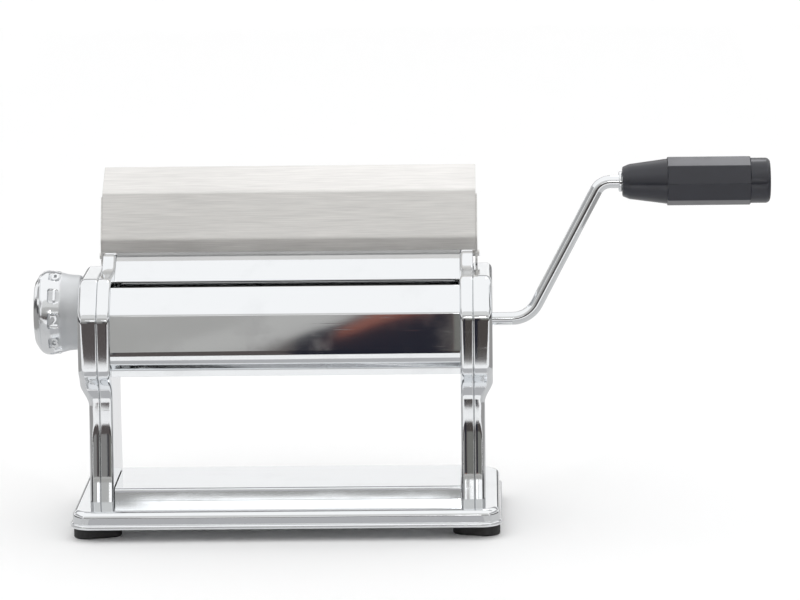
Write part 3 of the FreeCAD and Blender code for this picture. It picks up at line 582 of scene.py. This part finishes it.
grainCommon = {"markScale": 70.0, "roughen": 0.2, "cloudScale": 120.0,
               "coat": 0.0, "coatRoughness": 0.16}
grainFinishes = {
    "grip_plastic": {"color": (0.012, 0.013, 0.021), "roughness": 0.32, "coat": 0.35, "marks": 0.5,
                     "spread": 1.2, "grainScale": 1500.0, "grainDepth": 0.01},
    "foot_rubber": {"color": (0.022, 0.022, 0.022), "roughness": 0.72, "marks": 0.8,
                    "spread": 2.0, "grainScale": 1100.0, "grainDepth": 0.03},
    "bush_nylon": {"color": (0.72, 0.70, 0.64), "roughness": 0.42, "marks": 0.4,
                   "spread": 0.8, "grainScale": 1300.0, "grainDepth": 0.006},
}

materials = {}
for makeMaterial, common, finishes in ((chromeMaterial, chromeCommon, chromeFinishes),
                                       (brushedMaterial, brushedCommon, brushedFinishes),
                                       (grainMaterial, grainCommon, grainFinishes)):
    for name, finish in finishes.items():
        materials[name] = makeMaterial(name, {**common, **finish})
        layOut(materials[name].node_tree)

slotOf = {part["node"]: part["material_slot"] for part in frame["record"]["subparts"]}
for name, item in frame["nodes"].items():
    item.data.materials.clear()
    item.data.materials.append(materials[slotOf[name]])
print("materials made:", len(materials))


def dress(piece, slotName, body, *nodes):
    piece.data.materials.clear()
    piece.data.materials.append(materials[slotName])
    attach(piece, body)
    if nodes:
        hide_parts(*nodes)


sides = {"left": -1, "right": 1}         # which way each side lies along x


# Side frames: each is an inner plate and an outer cover, pressed half shells that meet in a seam

sideShape = {
    "front": [(-27.2, 13.6, 0), (-24.9, 25.0, 20), (-22.5, 45.0, 80), (-21.8, 66.5, 11),
              (-31.0, 71.5, 6), (-31.0, 99.6, 10), (-18.5, 114.4, 10)],
    "plainTop": [(27.0, 114.4, 8), (35.0, 103.4, 10)],
    "hornTop": [(5.0, 114.4, 12), (15.0, 120.9, 5), (31.0, 120.9, 4), (35.0, 106.9, 10)],
    "back": [(35.0, 71.5, 6), (25.0, 66.5, 11), (24.5, 45.0, 80), (25.7, 25.0, 20),
             (27.2, 13.6, 0)],
    "wideLevels": 16,          # even levels from the foot up to the close ones
    "closeLevels": (56.0, 0.8, 31),      # start, step and number, round the bend into the body
    "splitLevel": 84.0,        # the last level; above it the rings follow the corners
    "legOut": 90.0,            # outer face of the leg; the body stands further out
    "taper": (57.0, 67.0),     # heights between which the cover swells from leg to body
    "wall": 1.6,
    "coverRim": 3.0,
    "plateRim": 1.8,
    "seamRound": 0.7,
    "bushHole": 7.0,           # radius
    "blockWindow": (11.5, 10.86, 2.0),   # half depth, half height and corners
    "blockTravel": 2.9,        # the bearing block slides this far to the front in its window
    "blockPlay": 0.2,
    "guideSlot": (1.6, 5.6, 1.58),       # half depth, half height and corners
    "guideSlotAt": (23.0, 2.1),          # its middle: y, and z over the top of the plate
}


def longEnds(path, extra=10.0):
    # The outline with both ends of the leg drawn out below the base, so that insets reach it.
    ends = []
    for here, after in ((path[0], path[1]), (path[-1], path[-2])):
        slope = (here[0] - after[0]) / (here[1] - after[1])
        ends.append((here[0] - slope * extra, here[1] - extra, 0))
    return [ends[0]] + path[1:-1] + [ends[1]]


def yAtLevel(points, level):
    for one, two in zip(points, points[1:]):
        if one.y <= level <= two.y:
            return one.x + (two.x - one.x) * (level - one.y) / max(two.y - one.y, 1e-9)
    return points[-1].x


def sideRing(path, inset, levels):
    # The outline moved inwards, as points up the front at fixed levels, over the top and down
    # the back.
    points = roundedPath(offsetPath(path, -inset))
    top = [point for point in points if point.y > levels[-1]]
    front = [Vector((yAtLevel(points, level), level)) for level in levels]
    back = [Vector((yAtLevel(points[::-1], level), level)) for level in levels]
    return front + top + back[::-1]


def shellMesh(name, outer, inner, levelCount):
    # Outer and inner skins, each a row of rings from the seam to its far face, joined at the seam
    # and the foot.
    verts = []
    faces = []
    starts = []
    for skin in (outer, inner):
        count = len(skin[0])
        rows = []
        for ring in skin:
            rows.append(len(verts))
            verts.extend(ring)
        for one, two in zip(rows, rows[1:]):
            faces += joinRows(one, two, count, closed=False)
        far = rows[-1]         # its face is a ladder between front and back, and one piece above
        for index in range(levelCount - 1):
            faces.append([far + index, far + index + 1,
                          far + count - 2 - index, far + count - 1 - index])
        faces.append([far + index for index in range(levelCount - 1, count - levelCount + 1)])
        starts.append(rows)
    outerRows, innerRows = starts
    outerLast, innerLast = len(outer[0]) - 1, len(inner[0]) - 1
    faces.append([outerRows[0] + index for index in range(outerLast + 1)]
                 + [innerRows[0] + index for index in range(innerLast, -1, -1)])
    faces.append(outerRows + [row + outerLast for row in reversed(outerRows)]
                 + [row + innerLast for row in innerRows] + innerRows[::-1])
    return meshPiece(name, verts, faces)


def sideShell(name, side, top, seam, way, reachAt, rim):
    # way is 1 for the cover, which grows outwards from the seam, and -1 for the plate.
    shape = sideShape
    lowest = shape["front"][0][1]
    closeStart, closeStep, closeCount = shape["closeLevels"]
    wideCount = shape["wideLevels"]
    levels = [lowest + (closeStart - lowest) * step / wideCount for step in range(wideCount)]
    levels += [closeStart + closeStep * step for step in range(closeCount)]
    levels.append(shape["splitLevel"])
    path = longEnds(shape["front"] + shape[top] + shape["back"])
    hollow = longEnds(shape["front"] + shape["plainTop"] + shape["back"])

    def ring(outline, inset, away, fromFace):
        # away is measured from the seam, or back from the far face.
        spots = []
        for point in sideRing(outline, inset, levels):
            depth = reachAt(point.y) - away if fromFace else away
            spots.append(place(side * (seam + way * depth), point.x, point.y))
        return spots

    outer = [ring(path, inset, away, False) for inset, away in quarterRound(shape["seamRound"], 30)]
    outer += [ring(path, inset, away, True) for away, inset in quarterRound(rim, 10)]
    wall = shape["wall"]
    inner = [ring(hollow, wall, 0.0, False), ring(hollow, wall, wall, True)]
    return shellMesh(name, outer, inner, len(levels))


def eased(share):
    share = min(max(share, 0.0), 1.0)
    return share * share * (3 - 2 * share)


def makeSideCover(side, sideName):
    seam, outside = acrossOf("right_side_cover")
    low, high = sideShape["taper"]
    legReach = sideShape["legOut"] - seam

    def reachAt(z):
        return legReach + (outside - seam - legReach) * eased((z - low) / (high - low))

    rim = sideShape["coverRim"]
    piece = sideShell(sideName + "SideCover", side, "plainTop", seam, 1, reachAt, rim)
    finishMesh(piece)
    dress(piece, "side_chrome", "frame", sideName + "_side_cover")


def makeSidePlate(side, sideName):
    shape = sideShape
    inside, seam = acrossOf("right_side_plate")

    def reachAt(z):
        return seam - inside

    piece = sideShell(sideName + "SidePlate", side, "hornTop", seam, -1, reachAt, shape["plateRim"])
    low = side * (inside - cutPast)
    high = side * (seam + cutPast)
    radius = shape["bushHole"]
    bushHole = turnedPiece("bushHole", [(low, radius, 0), (high, radius, 0)],
                           centreOf("front_roller"), 48)

    def opening(name, size, spot):
        return prismPiece(name, rectangle(*size, spot), low, high)

    halfDepth, halfHeight, corner = shape["blockWindow"]
    travel = shape["blockTravel"]
    blockY, blockZ = centreOf("rear_roller")
    blockWindow = opening("blockWindow", (halfDepth + travel / 2, halfHeight, corner),
                          (blockY - travel / 2 + shape["blockPlay"], blockZ))
    slotY, slotRise = shape["guideSlotAt"]
    plateTop = heightOf("right_side_plate")[1]
    guideSlot = opening("guideSlot", shape["guideSlot"], (slotY, plateTop + slotRise))
    cutWith(piece, [bushHole, blockWindow, guideSlot])
    finishMesh(piece)
    dress(piece, "side_chrome", "frame", sideName + "_side_plate")


for sideName, side in sides.items():
    makeSideCover(side, sideName)
    makeSidePlate(side, sideName)
print("side frames built")


# Folded sheets: the path is the outer face, from one edge to the other

frontCoverShape = {
    # Lip, bend, face down to the fold, and the hem turned under.
    "path": [(-17.5, 110.1, 0), (-19.0, 111.1, 0.9), (-27.6, 99.7, 2.5), (-30.15, 81.2, 14.0),
             (-29.6, 77.6, 3.0), (-26.4, 74.3, 1.2), (-26.4, 71.2, 0)],
    "sheet": 0.8,
    "edge": 0.2,
    "stations": 48,
    "twist": (-0.33, 0.33),    # how far the foot of the face moves at the left and at the right
    # Heights: the twist grows from the first to the second, holds to the third, ends at the last.
    "twistHeights": (99.7, 81.2, 77.6, 74.3),
}

rearCoverShape = {
    "path": [(27.0, 71.2, 0), (27.0, 74.0, 1.2), (31.0, 78.8, 2.0), (31.0, 112.0, 3.0),
             (21.5, 122.8, 4.0), (1.0, 110.8, 0.9), (1.0, 109.5, 0)],
    "sheet": 0.8,
    "edge": 0.2,
    "stations": 24,
}

guideShape = {
    "path": [(42.0, 158.0, 0), (25.0, 148.5, 3.0), (17.0, 127.5, 5.0), (16.7, 121.4, 0)],
    "sheet": 0.9,
    "edge": 0.25,
    "stations": 24,
}

bridgeShape = {
    "path": [(25.0, 13.6, 0), (24.92, 19.3, 1.2), (-24.92, 19.3, 1.2), (-25.0, 13.6, 0)],
    "sheet": 1.0,
    "edge": 0.1,
    "stations": 24,
}


def twistAt(shape, share, z):
    if "twist" not in shape:
        return 0.0
    left, right = shape["twist"]
    top, full, fullEnd, foot = shape["twistHeights"]
    weight = min(max((top - z) / (top - full), 0.0), 1.0)
    weight *= min(max((z - foot) / (fullEnd - foot), 0.0), 1.0)
    return (left + (right - left) * share) * weight


def makeSheet(name, shape, slotName, body, nodeName):
    low, high = acrossOf(nodeName)
    outline = sheetOutline(shape["path"], shape["sheet"])
    rings = []
    for station in range(shape["stations"] + 1):
        share = station / shape["stations"]
        x = low + (high - low) * share
        rings.append([place(x, point.x + twistAt(shape, share, point.y), point.y)
                      for point in outline])
    piece = ringPiece(name, rings)
    finishMesh(piece, shape["edge"])
    dress(piece, slotName, body, nodeName)


makeSheet("frontCover", frontCoverShape, "cover_chrome", "frame", "front_cover")
makeSheet("rearCover", rearCoverShape, "cover_chrome", "frame", "rear_cover")
makeSheet("doughGuide", guideShape, "guide_steel", "guide", "dough_guide")
makeSheet("baseBridge", bridgeShape, "base_chrome", "frame", "base_bridge")
print("sheets folded")


# Base

trayShape = {
    "corner": 10.0,
    # (inset, height, round), from under the top down inside the skirt, round the bead and up
    # over the edge.
    "profile": [(2.2, 12.4, 0), (2.2, 5.6, 0.2), (0.0, 5.6, 1.0), (0.0, 7.8, 1.0), (1.0, 7.8, 0.35),
                (1.0, 13.6, 3.0), (7.0, 13.6, 0)],
}

footShape = {
    "sole": (10.9, 6.4, 6.2),  # half length, half width and corners
    "plug": (6.0, 4.0, 3.0),
    "turn": 20.0,              # degrees
    "lowerEdge": 0.8,
    "upperEdge": 0.4,
}


def makeTray():
    low, high = acrossOf("base_plate")
    front, back = depthOf("base_plate")
    rings = []
    for inset, z in roundedPath(trayShape["profile"]):
        outline = rectangle((high - low) / 2 - inset, (back - front) / 2 - inset,
                            trayShape["corner"] - inset, stepAngle=5.0)
        rings.append([place(spot.x, spot.y, z) for spot in outline])
    piece = ringPiece("baseTray", rings)
    finishMesh(piece)
    dress(piece, "base_chrome", "frame", "base_plate")


def makeFoot(name, nodeName, turn):
    low, high = acrossOf(nodeName)
    front, back = depthOf(nodeName)
    centre = ((low + high) / 2, (front + back) / 2)
    trayFoot = heightOf("base_plate")[0]
    sole, plug = footShape["sole"], footShape["plug"]
    lowerEdge, upperEdge = footShape["lowerEdge"], footShape["upperEdge"]

    def ring(size, inset, z):
        outline = rectangle(*[part - inset for part in size], centre, turn)
        return [place(spot.x, spot.y, z) for spot in outline]

    rings = [ring(sole, inset, z) for inset, z in quarterRound(lowerEdge, 15)]
    rings += [ring(sole, 0.0, trayFoot - upperEdge), ring(sole, upperEdge, trayFoot)]
    rings += [ring(plug, 0.0, trayFoot), ring(plug, 0.0, heightOf(nodeName)[1])]
    piece = ringPiece(name, rings)
    finishMesh(piece)
    dress(piece, "foot_rubber", "frame", nodeName)


makeTray()
for sideName, side in sides.items():
    for endName, end in (("front", -1), ("rear", 1)):
        makeFoot("foot" + endName.title() + sideName.title(), "foot_%s_%s" % (endName, sideName),
                 side * end * footShape["turn"])
print("base built")


# Knob

knobShape = {
    "profile": [(-95.0, 17.0, 1.0), (-101.0, 17.5, 12), (-104.5, 18.5, 8), (-108.0, 19.4, 8),
                (-111.2, 19.4, 5), (-113.0, 18.6, 0.25)],
    "face": [(-113.0, 18.6, 0.25), (-114.4, 17.2, 1.5), (-116.4, 14.0, 3), (-116.0, 8.0, 6)],
    "cavity": (9.0, -99.0),          # radius and floor of the hollow behind the face
    "squareHalf": 2.2,               # of the hole for the shaft
    "settings": 10,
    "settingTurn": 36.0,             # degrees from one setting to the next
    "firstTurn": 21.0,
    "fieldX": -106.6,
    "fieldFloor": 18.15,             # from the axis
    "field": (3.0, 3.7, 1.3),        # half width along x, half height round the knob, corners
    # Share of the field's size at each height over its floor.
    "fieldWalls": ((0.72, 0.0), (0.84, 0.12), (0.93, 0.4), (1.0, 0.95), (1.05, 4.0)),
    "figureSize": 7.29,              # of the letter box that a figure stands in
    "figureHeight": 0.7,
    "figureEdge": 0.12,
    "figureWeight": 0.1,             # makes the strokes wider
    "track": (13.0, 1.45, 3.0),      # circle, half width and depth of the groove for the index pin
    "rest": (1.75, 0.03),            # radius of its wider places, and how much deeper they are
}


def fieldMatrix(index, axis):
    # Stands on the floor of one figure's field: x along the machine, y up the figure, z outwards.
    turn = math.radians(knobShape["firstTurn"] + knobShape["settingTurn"] * index)
    upward = Vector((0, math.cos(turn), math.sin(turn)))
    outward = Vector((0, -math.sin(turn), math.cos(turn)))
    spot = place(knobShape["fieldX"], *axis) + outward * knobShape["fieldFloor"] * mm
    stand = Matrix((Vector((1, 0, 0)), upward, outward)).transposed()
    return Matrix.Translation(spot) @ stand.to_4x4()


def arcSlot(circle, half, start, stop, steps=36):
    # Outline of a groove along an arc, in degrees.
    points = []
    for radius, first, last in ((circle + half, start, stop), (circle - half, stop, start)):
        for step in range(steps + 1):
            angle = math.radians(first + (last - first) * step / steps)
            points.append(Vector((radius * math.cos(angle), radius * math.sin(angle))))
    return points


def fieldCutter(index, axis):
    outline = rectangle(*knobShape["field"], stepAngle=15.0)
    stand = fieldMatrix(index, axis)
    rings = []
    for grow, z in knobShape["fieldWalls"]:
        rings.append([stand @ Vector((spot.x * mm * grow, spot.y * mm * grow, z * mm))
                      for spot in outline])
    return ringPiece("field", rings)


def makeKnob():
    axis = centreOf("knob")
    count = knobShape["settings"]
    profile = knobShape["profile"]
    inner, outer = profile[0][0], profile[-1][0]
    radius, floor = knobShape["cavity"]
    piece = turnedPiece("knobBody", profile + [(outer, radius, 0), (floor, radius, 0)], axis, 128)
    cutters = [fieldCutter(index, axis) for index in range(count)]

    circle, half, depth = knobShape["track"]
    restRadius, restDepth = knobShape["rest"]
    first = 90.0 + knobShape["firstTurn"]
    turns = [first + knobShape["settingTurn"] * index for index in range(count)]
    track = [spot + Vector(axis) for spot in arcSlot(circle, half, turns[0], turns[-1])]
    cutters.append(prismPiece("track", track, inner - depth, inner + cutPast))
    for turn in turns:
        centre = (axis[0] + circle * math.cos(math.radians(turn)),
                  axis[1] + circle * math.sin(math.radians(turn)))
        # All but round, and a little longer than the track's cutter so that no two ends meet.
        rest = rectangle(restRadius, restRadius, restRadius - 0.01, centre, stepAngle=15.0)
        cutters.append(prismPiece("rest", rest, inner - depth - restDepth, inner + 1.2 * cutPast))

    half = knobShape["squareHalf"]
    square = rectangle(half, half, 0.1, axis, knobShape["firstTurn"])
    cutters.append(prismPiece("shaftHole", square, floor - cutPast, inner + cutPast))
    cutWith(piece, cutters)
    finishMesh(piece, sharp=50.0)
    dress(piece, "knob_chrome", "knob", "knob")


def makeFigures():
    # Plain figures 0 to 9, raised on the floors of the fields.
    axis = centreOf("knob")
    height = knobShape["figureHeight"]
    joined = bmesh.new()
    for index in range(knobShape["settings"]):
        text = bpy.data.curves.new("figure", "FONT")
        text.body = str(index)
        text.size = knobShape["figureSize"] * mm
        text.align_x = "CENTER"
        text.align_y = "CENTER"
        text.extrude = height / 2 * mm
        text.bevel_depth = knobShape["figureEdge"] * mm
        text.bevel_resolution = 2
        text.resolution_u = 6
        text.offset = knobShape["figureWeight"] * mm
        holder = linkPiece("figure", text)
        graph = bpy.context.evaluated_depsgraph_get()
        data = bpy.data.meshes.new_from_object(holder.evaluated_get(graph))
        data.transform(fieldMatrix(index, axis) @ Matrix.Translation((0, 0, height / 2 * mm)))
        joined.from_mesh(data)
        bpy.data.objects.remove(holder)
    piece = linkPiece("knobFigures", bpy.data.meshes.new("knobFigures"))
    keepMesh(piece, joined)
    finishMesh(piece)
    dress(piece, "knob_chrome", "knob")


def makeKnobFace():
    piece = turnedPiece("knobFace", knobShape["face"], centreOf("knob"), 128)
    finishMesh(piece)
    dress(piece, "knob_chrome", "knob", "knob_face")


makeKnob()
makeFigures()
makeKnobFace()
print("knob built")


# Crank: heights in the rod's path are over the roller's axis

rodShape = {
    "path": [(86.5, 0.0, 0), (110.3, 0.0, 12.7), (143.0, 62.1, 7.5), (209.9, 62.1, 0)],
    "radius": 2.9,
    "endRound": (0.9, 0.25),   # share of the radius left at an end, and how far the round reaches
    "squareHalf": 2.0,
    "squareCorner": 1.36,      # the square's corners reach this many halves from the axis
    "count": 40,
}


def makeRod():
    shape = rodShape
    axis = centreOf("front_roller")
    angles = [2 * math.pi * index / shape["count"] for index in range(shape["count"])]
    radius, half = shape["radius"], shape["squareHalf"]
    points = roundedPath(shape["path"], stepAngle=4.0)
    rings = []
    for x in (acrossOf("crank_rod")[0], points[0].x):
        ring = []
        for angle in angles:
            away = half / max(abs(math.cos(angle)), abs(math.sin(angle)))
            ring.append(around(axis, x, min(away, half * shape["squareCorner"]), angle))
        rings.append(ring)
    left, reach = shape["endRound"]
    ends = {0: ((left, 0.0), (1.0, reach)), len(points) - 1: ((1.0, -reach), (left, 0.0))}
    for index, point in enumerate(points):
        run = (points[min(index + 1, len(points) - 1)] - points[max(index - 1, 0)]).normalized()
        across = Vector((-run.y, run.x))
        for shrink, shift in ends.get(index, ((1.0, 0.0),)):
            ring = []
            for angle in angles:
                sideways = shrink * radius * math.cos(angle)
                spot = point + run * shift + across * (shrink * radius * math.sin(angle))
                ring.append(place(spot.x, axis[0] + sideways, axis[1] + spot.y))
            rings.append(ring)
    piece = ringPiece("crankRod", rings)
    finishMesh(piece)
    dress(piece, "rod_chrome", "crank", "crank_rod")


gripShape = {
    "bore": 2.95,
    "cone": [(152.8, 6.6, 0.8), (155.8, 7.9, 6), (172.9, 10.2, 0)],
    "facets": (172.9, 210.5),
    "facetStart": 10.1,        # radius just before the facets
    "rim": 11.1,               # where two flats would meet
    "flats": 8,
    "cornerRound": 1.0,
    "chamfer": 0.35,
    "plain": [(210.5, 10.2, 0), (219.3, 10.2, 2.2), (219.3, 6.6, 0.2)],
    "mouth": 219.1,
    "cavity": (6.2, 205.9),    # radius and floor of the hollow for the cap and the clip
    "cap": [(212.4, 6.1, 0.3), (218.9, 6.1, 0.7), (218.9, 3.0, 0), (218.5, 2.2, 1.0)],
    # Degrees from the middle of one flat at which the skin has a point.
    "angles": (-22.5, -21.7, -20.8, -19.4, -14.0, -7.0, 0.0, 7.0, 14.0, 19.4, 20.8, 21.7),
}


def facetRadius(away):
    # Distance of the skin from the axis, at an angle from the middle of the nearest flat.
    halfFlat = math.pi / gripShape["flats"]
    flat = gripShape["rim"] * math.cos(halfFlat)
    corner = gripShape["cornerRound"]
    centre = (flat - corner) / math.cos(halfFlat)
    turn = halfFlat - abs(away)
    inside = corner ** 2 - (centre * math.sin(turn)) ** 2
    straight = flat / math.cos(away)
    if inside <= 0:
        return straight
    return min(straight, centre * math.cos(turn) + math.sqrt(inside))


def makeGrip():
    shape = gripShape
    axis = centreOf("grip")
    flatTurn = 360 / shape["flats"]
    turns = []
    for flat in range(shape["flats"]):
        for away in shape["angles"]:
            turns.append((math.radians(flatTurn * flat + flatTurn / 2 + away), math.radians(away)))
    start, stop = shape["facets"]
    chamfer, bore = shape["chamfer"], shape["bore"]
    capRadius, floor = shape["cavity"]
    # Each entry is (x, radius, plain) or (x, depth under the facets, faceted).
    cone = [(shape["cone"][0][0], bore, 0)] + shape["cone"]
    skin = [(point.x, point.y, False) for point in roundedPath(cone)]
    skin.append((start, shape["facetStart"], False))
    skin += [(start, chamfer, True), (start + chamfer, 0.0, True)]
    skin += [(stop - chamfer, 0.0, True), (stop, chamfer, True)]
    skin += [(point.x, point.y, False) for point in roundedPath(shape["plain"])]
    skin += [(shape["mouth"], capRadius, False), (floor, capRadius, False), (floor, bore, False)]
    rings = []
    for x, value, faceted in skin:
        rings.append([around(axis, x, facetRadius(away) - value if faceted else value, angle)
                      for angle, away in turns])
    piece = ringPiece("gripBody", rings, loop=True)
    finishMesh(piece, sharp=28.0)
    dress(piece, "grip_plastic", "grip", "grip")


def makeGripCap():
    piece = turnedPiece("gripCap", gripShape["cap"], centreOf("grip"), 64)
    finishMesh(piece)
    dress(piece, "grip_plastic", "grip", "grip_cap")


makeRod()
makeGrip()
makeGripCap()
print("crank built")


# Studio

studioSettings = {
    "worldStrength": 1.12,
    "floorColor": (0.97, 0.97, 0.97),
    "floorRoughness": 0.75,
    "floorShine": 0.2,
    "floorRings": (0.69, 2.3, 4.6),      # m, the flat part, then the floor curves up into a wall
    "coveRadius": 1.2,
    "coveSteps": 16,
    "coveTop": 3.2,
    "around": 96,
}


def addFloor(settings):
    bend = settings["coveRadius"]
    profile = [(away, 0.0) for away in settings["floorRings"]]
    flat = profile[-1][0]
    for step in range(1, settings["coveSteps"] + 1):
        angle = math.pi / 2 * step / settings["coveSteps"]
        profile.append((flat + bend * math.sin(angle), bend - bend * math.cos(angle)))
    profile.append((flat + bend, settings["coveTop"]))
    count = settings["around"]
    verts = []
    for away, height in profile:
        for step in range(count):
            angle = 2 * math.pi * step / count
            verts.append((away * math.cos(angle), away * math.sin(angle), height))
    faces = [list(range(count))]
    for ring in range(len(profile) - 1):
        faces += joinRows((ring + 1) * count, ring * count, count)
    floor = meshPiece("floor", verts, faces)
    for face in floor.data.polygons:
        face.use_smooth = True
    material, tree, shader = newMaterial("floorPaint")
    shader.inputs["Base Color"].default_value = (*settings["floorColor"], 1)
    shader.inputs["Roughness"].default_value = settings["floorRoughness"]
    shader.inputs["Specular IOR Level"].default_value = settings["floorShine"]
    floor.data.materials.append(material)


def addCard(name, color, corners):
    # A glowing card that only shows in the reflections: a painted reflection that the camera
    # doesn't see and that lights no dull surface. Corners are in mm from the middle of the machine.
    card = meshPiece(name, [place(*corner) for corner in corners], [(0, 1, 2, 3)])
    material, tree, shader = newMaterial(name)
    shader.inputs["Base Color"].default_value = (0, 0, 0, 1)
    shader.inputs["Specular IOR Level"].default_value = 0.0
    shader.inputs["Emission Color"].default_value = (*color, 1)
    shader.inputs["Emission Strength"].default_value = 1.0
    card.data.materials.append(material)
    card.visible_camera = False
    card.visible_diffuse = False
    card.visible_shadow = False


frontWall = -2400          # y of the wall that the machine faces
farWall = 2300             # the other three walls, as far from the middle
frontEdge = -470           # y of the near edge of the floor in front
cardLift = 1.0             # floor screens lie this far over the floor

# Painted reflections of a darker room before the machine, on glowing cards that only the
# reflections show.
floorReflections = {
    # name: (colour, x from low to high at the near edge, the same at the wall)
    "warmFloor": ((0.105, 0.092, 0.090), (-3000, -12), (-3000, -95)),
    "darkFloor": ((0.018, 0.019, 0.030), (-12, 76), (-95, 64)),
    "sideFloor": ((0.080, 0.070, 0.066), (76, 3000), (64, 3000)),
}

# Painted reflections on the front wall: dark low down, grey higher up, with bright strips that
# paint highlights into the chrome.
wallReflections = {
    # name: (colour, x low and high, z low and high)
    "wallFarLeft": ((0.26, 0.255, 0.25), (-3000, -297), (0, 322)),
    "wallLegLeft": ((0.042, 0.044, 0.052), (-297, -270), (0, 322)),
    "wallWarm": ((0.105, 0.092, 0.090), (-270, -95), (0, 322)),
    "wallDark": ((0.018, 0.019, 0.030), (-95, 64), (0, 322)),
    "wallLegRight": ((0.150, 0.120, 0.112), (64, 76), (0, 322)),
    "wallFarRight": ((0.20, 0.20, 0.185), (76, 3000), (0, 322)),
    "wallGreyLow": ((0.52, 0.515, 0.50), (-3000, 3000), (322, 372)),
    "wallGrey": ((0.43, 0.425, 0.41), (-3000, 3000), (372, 458)),
    "wallBright": ((1.7, 1.7, 1.7), (-262, 48), (458, 580)),
    "wallBrightRight": ((1.2, 1.2, 1.2), (120, 3000), (458, 580)),
    "wallGapLeft": ((0.50, 0.50, 0.49), (-3000, -262), (458, 580)),
    "wallGapRight": ((0.50, 0.50, 0.49), (48, 120), (458, 580)),
    "wallStrip": ((1.5, 1.5, 1.5), (-330, 140), (580, 660)),
    "wallStripLeft": ((0.52, 0.515, 0.505), (-3000, -330), (580, 660)),
    "wallStripRight": ((0.52, 0.515, 0.505), (140, 3000), (580, 660)),
    "wallMiddle": ((0.52, 0.515, 0.505), (-3000, 3000), (660, 1150)),
    "wallUpper": ((0.78, 0.78, 0.77), (-3000, 3000), (1150, 2330)),
}


def addFloorCard(name, color, *corners):
    addCard(name, color, [(x, y, cardLift) for x, y in corners])


def addWallCard(name, color, ends, heights):
    # Upright between two places on the floor.
    (x, y), (endX, endY) = ends
    low, high = heights
    addCard(name, color, [(x, y, low), (endX, endY, low), (endX, endY, high), (x, y, high)])


def addFrontScreens():
    for name, (color, near, far) in floorReflections.items():
        addFloorCard(name, color, (near[0], frontEdge), (near[1], frontEdge),
                     (far[1], frontWall), (far[0], frontWall))
    for name, (color, across, heights) in wallReflections.items():
        addWallCard(name, color, [(x, frontWall) for x in across], heights)
    streakY = frontWall + 20
    addCard("warmStreak", (0.30, 0.10, 0.07),
            [(-40, streakY, 292), (58, streakY, 300), (58, streakY, 330), (-40, streakY, 308)])
    # Painted shade: a grey card on the floor just before the base, standing for the base's shadow
    # there, seen only in reflections such as the tray's front.
    addFloorCard("paintedFloorShade", (0.50, 0.50, 0.51),
                 (-400, -64), (400, -64), (400, -215), (-400, -215))


def addSideScreens(side, sideName):
    # Painted reflections of a grey room at this side, on cards that only the reflections show.
    near, far = side * 330, side * farWall
    ends = ((far, -1500), (far, 1800))
    addFloorCard("nearFloor" + sideName, (0.36, 0.355, 0.35),
                 (near, -300), (near, 1400), (far, 1400), (far, -300))
    addFloorCard("padFloor" + sideName, (0.66, 0.66, 0.66),
                 (side * 104, -200), (side * 104, 200), (near, 1400), (near, -300))
    addWallCard("lowWall" + sideName, (0.09, 0.088, 0.09), ends, (0, 420))
    addWallCard("midWall" + sideName, (0.45, 0.45, 0.45), ends, (700, 1500))


def addBackScreens():
    # Painted reflections of a grey room behind the machine, on cards that only the reflections
    # show.
    ends = ((-farWall, farWall), (farWall, farWall))
    addFloorCard("nearFloorBack", (0.33, 0.33, 0.335),
                 (-330, 520), (330, 520), (330, farWall), (-330, farWall))
    addFloorCard("padFloorBack", (0.84, 0.84, 0.845),
                 (-104, 62), (104, 62), (330, 520), (-330, 520))
    addWallCard("lowWallBack", (0.10, 0.10, 0.105), ends, (0, 200))
    addWallCard("midWallBack", (0.40, 0.40, 0.41), ends, (700, 1500))


def addGlows():
    # Painted highlights: glowing cards that only the reflections show. One slopes over the machine
    # from behind, one is small and high on the front wall.
    addCard("topHighlight", (3.6, 3.6, 3.7),
            [(190, 1500, 1600), (560, 1500, 1600), (560, 1250, 2300), (190, 1250, 2300)])
    addWallCard("frontHighlight", (7.0, 7.0, 7.0), ((60, -farWall), (300, -farWall)), (540, 660))


addFloor(studioSettings)
addFrontScreens()
for sideName, side in sides.items():
    addSideScreens(side, sideName.title())
addBackScreens()
addGlows()

world = bpy.data.worlds.new("world")
bpy.context.scene.world = world
world.use_nodes = True
background = world.node_tree.nodes["Background"]
background.inputs["Color"].default_value = (1, 1, 1, 1)
background.inputs["Strength"].default_value = studioSettings["worldStrength"]
bpy.context.scene.view_settings.view_transform = "Standard"
print("studio built")
